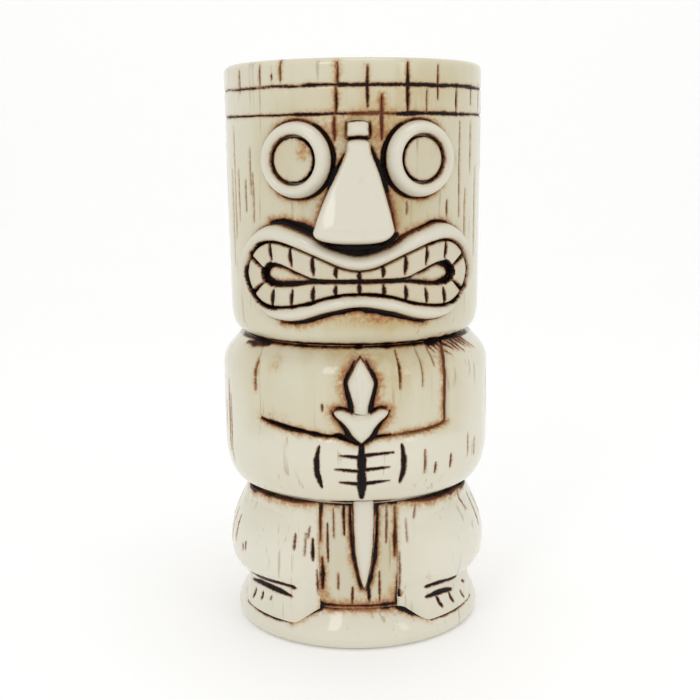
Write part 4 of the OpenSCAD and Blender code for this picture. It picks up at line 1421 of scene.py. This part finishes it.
for side, label in SIDES:
    top = [(chest_arc(a), z) for a, z in forearm_top(side)]
    wrist = chest_arc(side * wrist_turn)
    back = chest_arc(side * limb_back)
    top_at_wrist = float(np.interp(abs(wrist), [abs(x) for x, z in top][::-1],
                                   [z for x, z in top][::-1]))
    arm = [(wrist, waist_z + 0.6), (back, waist_z + 0.6), (back, neck_z - 0.5)]
    arm += [tuple(p) for p in front_edges[side][:3]]
    arm += [(x, z) for x, z in top if abs(x) > abs(wrist) + 0.2] + [(wrist, top_at_wrist)]
    hand = [(side * 0.02, waist_z + 0.6), (wrist, waist_z + 0.6), (wrist, top_at_wrist)]
    hand += [(x, z) for x, z in top if abs(x) < abs(wrist) - 0.2] + [(side * 0.02, 62.9)]
    limb_sprig(f"{label}_arm_clay", arm, side, f"{label}_arm", body_glaze, 0.55)
    limb_sprig(f"{label}_hand_clay", hand, side, f"{label}_hand", body_glaze, 0.38)

# %% [markdown]
# ## The dagger
# Leaf, guard and blade are three clean sprigs, wiped bright, with the darkest wash of the whole
# mug packed in beside them. The leaf and guard lie on the chest, the blade on the lower panel.

# %% Dagger
DAGGER_HEIGHT, DAGGER_SHOULDER = 2.3, 1.9
guard_top = guard_half[0][1]


def half_outline(half):
    """The closed outline of a piece that is the same on both sides, from its right half."""
    right = through(np.array(half, float) * (DAGGER_SLIM, 1), closed=False, steps=5)
    left = right[::-1] * (-1, 1)
    return closed_even(np.vstack([right, left[1:-1]]), 0.35)


def on_chest_front(points):
    """The leaf stands straight while the shoulder falls away behind its tip."""
    return np.maximum(radius_at(torso_out, points[:, 1]), chest_r - 0.25 * np.clip(
        points[:, 1] - 83, 0, 9))


def dagger_rim_ink(points):
    """No ink where the leaf grows out of the guard."""
    joint = (np.abs(points[:, 0]) < 2.3) & (np.abs(points[:, 1] - 72.3) < 1.6)
    return np.where(joint, NO_INK, 0.20), 0.9, np.where(joint, 0.15, 0.4)


def dagger_relief(towards):
    """A pillow that stays full where the leaf and the guard grow together."""
    rounding = pillow(DAGGER_HEIGHT, DAGGER_SHOULDER, 0.25)

    def relief(points, gap):
        joint = smoothstep((2.6 - towards * (points[:, 1] - guard_top)) / 2.2)
        return rounding(points, np.maximum(gap, joint * np.clip(2.1 - np.abs(points[:, 0]), 0, 9)))
    return relief


for name, half, towards, sunk in (("dagger_leaf", leaf_half, 1, 3.2),
                                  ("dagger_guard", guard_half, -1, 0.9)):
    make_sprig(name + "_clay", half_outline(half), dagger_relief(towards), on_chest_front,
               sprig_glaze, [name], chest_r, spacing=0.5, edge_spacing=0.32,
               edge_zone=1.4, sunk=sunk, rim_ink=dagger_rim_ink)

blade_half = [(0.7, 46.9), (3.75, 46.9), (3.9, 43.5), (3.95, 40), (3.75, 34), (3.3, 28),
              (2.3, 22), (1.4, 18.6), (0.7, 16.8)]
blade_left = [(1.4 - x, z) for x, z in blade_half]
blade_loop = np.vstack([through(blade_half, closed=False, steps=5),
                        through(blade_left, closed=False, steps=5)[::-1]])


def on_panel(points):
    return np.full(len(points), panel_r)


make_sprig("dagger_blade_clay", closed_even(blade_loop, 0.35), pillow(1.9, 1.7, 0.3), on_panel,
           sprig_glaze, ["dagger_blade"], panel_r, spacing=0.5, edge_spacing=0.35,
           edge_zone=1.6)


# %% [markdown]
# ## Legs, feet and the panel between them
# The legs are fat and bowed: each bulges out at the knee, tucks in at the ankle and spreads into
# a foot that stands on the sloping top of the plate. Their relief is a product of two rules, the
# profile up the leg and the swell round the side.

# %% Lines on the lower body
def panel_arc(degrees):
    return degrees * DEG * panel_r


def low_line(pairs, width, **look):
    return Cut([(panel_arc(a), z) for a, z in pairs], width, **look)


def low_cut(degrees, top, foot, width, **look):
    return low_line([(degrees, top), (degrees, foot)], width, **look)


LEFT_LEG, RIGHT_LEG = -21.5, 18.5
panel_cuts = [
    Cut([(-2.9, 46.5), (-3.2, 40), (-2.9, 34), (-2.2, 27), (-1.1, 21.5), (-0.1, 17.4)],
        [0.6, 0.7, 0.9, 1.3, 1.0, 0.7], depth=0.5, tone=0.75, halo=0.9, reach=1.5),
    Cut([(4.6, 46.5), (4.8, 40), (4.6, 34), (4.0, 27), (2.9, 21.5), (1.6, 17.0)],
        [1.3, 0.7, 0.7, 1.3, 1.3, 0.8], depth=0.5, halo=0.9, reach=1.5),
    low_line([(-8.6, 45), (-8.7, 40), (-8.5, 34)], [0.9, 0.7, 0.3], halo=0.45),
    low_line([(-11.8, 22), (-11.9, 17)], 0.4, tone=0.3),
    low_line([(-4.5, 18), (-5.0, 12.6)], 0.6, tone=0.5), low_line([(3.4, 20), (3.9, 13)], 0.9),
    low_line([(9, 22.6), (9.2, 18), (9.1, 13)], 0.4, tone=0.5),
    low_line([(13, 44), (13, 37), (12.7, 31.2)], 0.5, tone=0.25),
    low_line([(-17.1, 37.3), (-17.2, 31), (-17.0, 25.5)], 0.5, tone=0.8),
    low_line([(-14, 42), (-13.8, 33)], 0.4, tone=0.15),
    low_line([(7.4, 46), (7.0, 40)], 1.0, tone=0.5, halo=0.7),
    low_line([(LEFT_LEG + 1.6, 45), (LEFT_LEG + 0.6, 39), (LEFT_LEG + 0.4, 32)], [1.7, 0.7, 0.3],
             tone=0.6, halo=0.9, reach=1.5),
    low_line([(LEFT_LEG + 1.3, 26.5), (LEFT_LEG + 1.6, 22), (LEFT_LEG + 1.2, 17)], [0.3, 1.3, 0.6],
             tone=0.8, halo=0.9, reach=1.5),
    low_line([(RIGHT_LEG - 1.2, 42), (RIGHT_LEG - 1.0, 36), (RIGHT_LEG - 1.2, 27)],
             [0.3, 0.5, 1.2, 0.3], tone=0.55, halo=0.8, reach=1.3),
    low_line([(RIGHT_LEG + 0.4, 20), (RIGHT_LEG + 0.2, 13)], [0.6, 1.8], tone=0.9, halo=0.9,
             reach=1.6),
    Cut([(panel_arc(a), seat_z + 0.45) for a in (LEFT_LEG, -14, -6, 2, 10, RIGHT_LEG)],
        [1.8, 0.5, 0.35, 0.6, 0.8, 1.9], depth=0.3, tone=0.8, halo=1.1, reach=2.4, ragged=0.7),
    # The line round the waist is partly wash and partly painted shade below the overhanging torso.
    Cut([(panel_arc(a), waist_z - 0.1) for a in np.linspace(-180, 180, 60)], 0.9, depth=0.2,
        tone=0.95, halo=0.8, reach=2.0, ragged=0.5)]
panel_cuts += back_cuts(low_cut, 14, np.arange(132, 230, 9), (26, 42), (6, 18), 13, (0.5, 1.1),
                        (0.3, 0.95))


def panel_tones(flat):
    tan = 0.55 + 0.5 * blob(flat, -6, 30, 3, 12) + 0.3 * blob(flat, 8, 30, 4, 12)
    halo = 0.65 * blob(flat, -11.5, 15, 3, 3.5) + 0.35 * blob(flat, 0, 13.5, 5, 2)
    halo += 0.35 * blob(flat, -11.8, 34, 1.2, 12) + 0.6 * blob(flat, 10, 15, 2.5, 3.5)
    return {"tan": np.clip(tan, 0, 1.5), "halo": np.clip(halo, 0, 0.8)}


leg_in = rounded([(29.5, seat_z), (29.5, waist_z)], 1)
carved_wall("leg_wall_clay", leg_out, leg_in, 360, panel_glaze, ["leg_wall"],
            panel_cuts, panel_r, panel_tones)


# %% The foot plate
plate_cuts = [
    Cut([(panel_arc(a), seat_z - 0.1) for a in np.linspace(LEFT_LEG, RIGHT_LEG, 9)],
        [1.5, 0.6, 0.45, 0.8, 1.6], depth=0.3, tone=0.85, halo=1.0, reach=1.5, ragged=0.6),
    Cut([(panel_arc(a), seat_z - 0.1) for a in np.linspace(120, 240, 20) - 360], 0.9, depth=0.2,
        tone=0.8, halo=0.4),
    Cut([(panel_arc(a), seat_z - 0.1) for a in np.linspace(120, 181, 12)], 0.9, depth=0.2,
        tone=0.8, halo=0.4)]
for side, start in ((-1, LEFT_LEG), (1, RIGHT_LEG)):
    dark = 1.0 if side < 0 else 0.75
    plate_cuts += [
        Cut([(panel_arc(start), 11.4), (panel_arc(start + side * 5), 9.6),
             (panel_arc(side * 34), 6.8)], [2.2, 1.4, 0.9], depth=0.3, tone=dark, halo=0.7,
            reach=1.5, ragged=0.4),
        Cut([(panel_arc(side * a), 6.3) for a in (34, 42, 52, 62, 70)], [0.5, 1.0, 0.9, 0.6, 0.3],
            depth=0.2, tone=1.0 if side < 0 else 0.45, halo=0.3, reach=0.8, ragged=0.4)]


def plate_tones(flat):
    tan = 0.30 + 0.6 * blob(flat, 0, 10.5, 12, 3)
    halo = 0.45 * blob(flat, 0, 11.4, 12, 1.2)
    # The plate's lighter cream all over is painted light on its top and front.
    return {"tan": tan, "halo": halo, "clean": 0.65}


plate_in = np.array([(0.001, 0.0), (0.001, 6.0), (27.5, 6.0), (29.5, 8.0), (29.5, 14.2),
                     (31.4, 14.2), (31.4, seat_z + 0.05)])
carved_wall("base_plate_clay", plate_out, plate_in, 360, body_glaze, ["base_plate"],
            plate_cuts, panel_r, plate_tones, step=0.4)

# %% Legs and feet
ankle_z = design_box("left_leg")[0][2]
leg_profile = np.array([(0.6, 11.6), (1.4, 13), (2.6, 15), (3.6, 16.6), (5.0, 18.2), (6.1, 20.2),
                        (6.6, 23.6), (6.45, 27), (5.6, 31), (4.3, 34.5), (2.7, 38),
                        (1.2, 41.2), (0.05, waist_z)])


def leg_swell(points):
    """How far the leg stands out of the panel at a flat point, in millimetres."""
    angle = np.degrees(np.abs(points[:, 0]) / panel_r)
    start = np.where(points[:, 0] < 0, -LEFT_LEG, RIGHT_LEG)
    round_side = 0.10 + 0.90 * smoothstep((angle - start) / 30)
    back_fall = 1 - 0.85 * smoothstep((angle - 96) / 31)
    return np.interp(points[:, 1], leg_profile[:, 1], leg_profile[:, 0]) * round_side * back_fall


def foot_reach(points):
    """The foot stands out further than the ankle, and its inner side slants in to the panel."""
    angle = np.degrees(np.abs(points[:, 0]) / panel_r)
    spread = 0.25 + 3.35 * smoothstep((angle - 19) / 15) - 2.6 * smoothstep((angle - 66) / 20)
    rise = np.clip(points[:, 1] - PLATE_EDGE[1], 0, 12)
    return spread - 0.05 * rise - 0.25 * smoothstep((points[:, 1] - 12.5) / 3)


def leg_relief(points, gap):
    low = foot_reach(points)
    high = leg_swell(points)
    blend = smoothstep((points[:, 1] - 14.6) / 3.2)
    body = low * (1 - blend) + np.maximum(high, low * 0.7) * blend
    return 0.05 + body


plate_slope = (seat_z - PLATE_EDGE[1]) / (PLATE_EDGE[0] - panel_r)


def plate_height(reach):
    """Height of the plate's sloping top where the foot stands out by `reach`."""
    return seat_z - np.asarray(reach) * plate_slope


leg_lines = {
    -1: [([(-66, 16.6), (-58, 17.6), (-50.7, 18), (-42, 17.6), (-33.1, 16.6)], 1.3, 1.0),
         ([(-64, 14.4), (-56, 15.2), (-48, 15.2), (-40, 14.8), (-34.3, 14.2)], 1.4, 1.0),
         ([(-59.7, 12.6), (-61, 10.6), (-63.3, 8.7)], 0.7, 0.9),
         ([(-53.4, 12.6), (-54, 11), (-55.3, 9.8)], 0.7, 0.8),
         ([(-47, 12.4), (-48, 11)], 0.4, 0.3),
         ([(-24.6, 32.5), (-24.6, 25.5)], 0.8, 1.0), ([(-33, 33.5), (-33.4, 28.7)], 0.5, 0.4),
         ([(-26, 36), (-27, 32.4)], 0.4, 0.2), ([(-60.4, 28), (-60.4, 25.2)], 0.5, 0.9),
         ([(-63, 27), (-63, 24.6)], 0.4, 0.6), ([(-28, 34), (-28.6, 27)], 0.35, 0.2),
         ([(-22.6, 23), (-22.4, 14.9)], 0.5, 0.4)],
    1: [([(32.3, 16.2), (40, 16.9), (47, 16.7), (53.6, 16)], 1.3, 1.0),
        ([(31.7, 13.4), (38, 13.8), (44, 13.6), (49.2, 12.9)], 1.4, 1.0),
        ([(59, 13.6), (62.5, 12.4)], 0.7, 0.7),
        ([(37.7, 12.9), (39.6, 10.5), (42.1, 8.6)], 0.85, 1.0),
        ([(46.8, 12.4), (48, 10.4), (50.4, 8.6)], 0.8, 1.0),
        ([(56.7, 11.0), (59, 9), (61.4, 7.6)], 0.6, 0.4),
        ([(44, 44), (46.5, 42.6)], 0.5, 0.9), ([(23, 38), (23.4, 31)], 0.35, 0.15),
        ([(28, 42), (27, 38)], 0.4, 0.2), ([(55, 46), (63, 36)], 0.4, 0.3),
        ([(19.3, 28), (19.5, 22), (19.4, 14)], 0.4, 0.25)]}


def leg_cuts(side):
    cuts = [low_line(pairs, width, tone=tone, depth=0.4, halo=0.25, reach=0.8, ragged=0.3)
            for pairs, width, tone in leg_lines[side]]
    # The line at the top of each leg is partly wash and partly painted shade below the overhanging
    # torso.
    waist_widths = [0.5, 0.8, 2.2, 0.8, 0.6] if side < 0 else [0.6, 2.0, 1.0, 0.7]
    cuts.append(low_line([(side * a, waist_z + 0.1) for a in (18, 34, 50, 80, 126)], waist_widths,
                         depth=0.2, tone=0.55, halo=0.95, reach=2.2, ragged=0.6))
    rng = np.random.default_rng(40 + side)
    for angle in np.arange(72, 122, 8):
        top = rng.uniform(28, 40)
        cuts.append(low_line([(side * angle, top), (side * angle, top - rng.uniform(4, 12))],
                             rng.uniform(0.3, 0.7), tone=rng.uniform(0.2, 0.9)))
    cuts.append(low_line([(side * a, 16.2 + 0.5 * math.sin(a)) for a in (70, 85, 100, 124)], 0.8,
                         tone=0.7, depth=0.3))
    return cuts


def lower_sprig(name, corners, side, node, glaze):
    """One leg or foot, cut from the same relief and the same lines."""
    outline = closed_even(np.array(corners, float), 0.5)
    cuts = leg_cuts(side)

    def fields(flat, gap):
        edge, tone, halo = lay(flat, cuts)[1:]
        start = panel_arc(LEFT_LEG if side < 0 else RIGHT_LEG)
        halo = np.maximum(halo, 0.40 * np.exp(-(np.abs(flat[:, 0] - start) / 0.9) ** 2))
        tan = 0.22 + 0.5 * blob(flat, side * 30, 42, 12, 3) + 0.3 * blob(flat, side * 14, 26, 3, 9)
        # The legs and feet are lighter all over and lightest on the knees: painted light where the
        # light falls on them.
        return {"tan": np.clip(tan, 0, 1), "clean": 0.45 + 0.5 * blob(flat, side * 28, 24, 16, 14),
                "edge": edge, "tone": tone, "halo": halo}

    return make_sprig(name, outline, leg_relief, on_panel, glaze, [node], panel_r,
                      spacing=0.5, edge_spacing=0.5, edge_zone=0.0, sunk=0.8, cuts=cuts,
                      fields=fields, rim_ink=no_rim_ink)


for side, label in SIDES:
    front = panel_arc(LEFT_LEG if side < 0 else RIGHT_LEG)
    back = panel_arc(side * 126)
    leg = [(front, ankle_z), (back, ankle_z), (back, waist_z), (front, waist_z)]
    arcs = np.linspace(front, back, 60)
    # The foot's lower edge follows the plate, a little inside its slope.
    sole = []
    for x in arcs:
        reach = foot_reach(np.array([[x, 8.0]]))[0]
        sole.append((x, float(plate_height(reach)) - 0.25))
    foot = sole + [(back, ankle_z), (front, ankle_z)]
    lower_sprig(f"{label}_leg_clay", leg, side, f"{label}_leg", body_glaze)
    lower_sprig(f"{label}_foot_clay", foot, side, f"{label}_foot", body_glaze)

# %% [markdown]
# ## Table, light and camera
# The mug stands on a white sweep in soft, bright, even light, so the glaze shows long pale
# reflections and the shadow is only a faint grey round the foot.

# %% Floor and light
FLOOR_FRONT, FLOOR_BACK, FLOOR_HALF = -0.6, 0.5, 1.6
BEND_R, SWEEP_TOP = 0.35, 1.4
FLOOR_DROP = 0.0002
SWEEP_GLOW, ROOM_LIGHT = 0.14, 0.84


def make_floor():
    """A white sweep: flat under the mug, then bent up into a wall behind it."""
    mesh = bpy.data.meshes.new("floor")
    bend = [(FLOOR_FRONT, 0.0), (FLOOR_BACK, 0.0)]
    for a in np.linspace(0, math.pi / 2, 10):
        bend.append((FLOOR_BACK + BEND_R * math.sin(a), BEND_R - BEND_R * math.cos(a)))
    bend.append((FLOOR_BACK + BEND_R, SWEEP_TOP))
    points = [(x, y, z - FLOOR_DROP) for y, z in bend for x in (-FLOOR_HALF, FLOOR_HALF)]
    faces = [(2 * k, 2 * k + 1, 2 * k + 3, 2 * k + 2) for k in range(len(bend) - 1)]
    mesh.from_pydata(points, [], faces)
    mesh.shade_smooth()
    material = bpy.data.materials.new("white_sweep")
    material.use_nodes = True
    shader = next(n for n in material.node_tree.nodes if n.type == "BSDF_PRINCIPLED")
    shader.inputs["Base Color"].default_value = (0.88, 0.88, 0.875, 1)
    shader.inputs["Emission Color"].default_value = (1, 1, 1, 1)
    shader.inputs["Emission Strength"].default_value = SWEEP_GLOW
    shader.inputs["Roughness"].default_value = 0.6
    mesh.materials.append(material)
    floor = bpy.data.objects.new("floor", mesh)
    bpy.context.scene.collection.objects.link(floor)


def area_light(name, place, aim, size, power):
    """A white rectangular lamp that points at a spot on the mug."""
    data = bpy.data.lights.new(name, "AREA")
    data.shape = "RECTANGLE"
    data.size, data.size_y = size
    data.energy = power
    lamp = bpy.data.objects.new(name, data)
    lamp.location = place
    lamp.rotation_euler = (Vector(aim) - Vector(place)).to_track_quat("-Z", "Y").to_euler()
    bpy.context.scene.collection.objects.link(lamp)


make_floor()
world = bpy.data.worlds.new("studio")
world.use_nodes = True
world.node_tree.nodes["Background"].inputs["Color"].default_value = (1, 1, 1, 1)
world.node_tree.nodes["Background"].inputs["Strength"].default_value = ROOM_LIGHT
bpy.context.scene.world = world
bpy.context.scene.view_settings.view_transform = "Standard"
area_light("key", (-0.35, -0.70, 0.60), (0, 0, 0.09), (0.16, 0.42), 0.75)
area_light("top", (0.1, -0.1, 1.1), (0, 0, 0.1), (0.5, 0.5), 1.2)
area_light("fill", (0.55, -0.60, 0.40), (0, 0, 0.09), (0.12, 0.40), 0.35)

# %% Camera
CAMERA_AZIMUTH = -2.1 * DEG
CAMERA_REACH, CAMERA_HEIGHT = 0.356, 0.1463
CAMERA_PITCH, CAMERA_ROLL, CAMERA_YAW = 10.05 * DEG, 0.62 * DEG, -0.262 * DEG
camera_data = bpy.data.cameras.new("camera")
camera_data.lens = 59.14
camera_data.sensor_width = 36
camera = bpy.data.objects.new("camera", camera_data)
camera.location = (CAMERA_REACH * math.sin(CAMERA_AZIMUTH),
                   -CAMERA_REACH * math.cos(CAMERA_AZIMUTH), CAMERA_HEIGHT)
heading = CAMERA_YAW - CAMERA_AZIMUTH
look = Vector((math.sin(heading), math.cos(heading), -math.tan(CAMERA_PITCH)))
camera.rotation_mode = "QUATERNION"
camera.rotation_quaternion = look.to_track_quat("-Z", "Y") @ Quaternion((0, 0, 1), -CAMERA_ROLL)
bpy.context.scene.collection.objects.link(camera)
bpy.context.scene.camera = camera
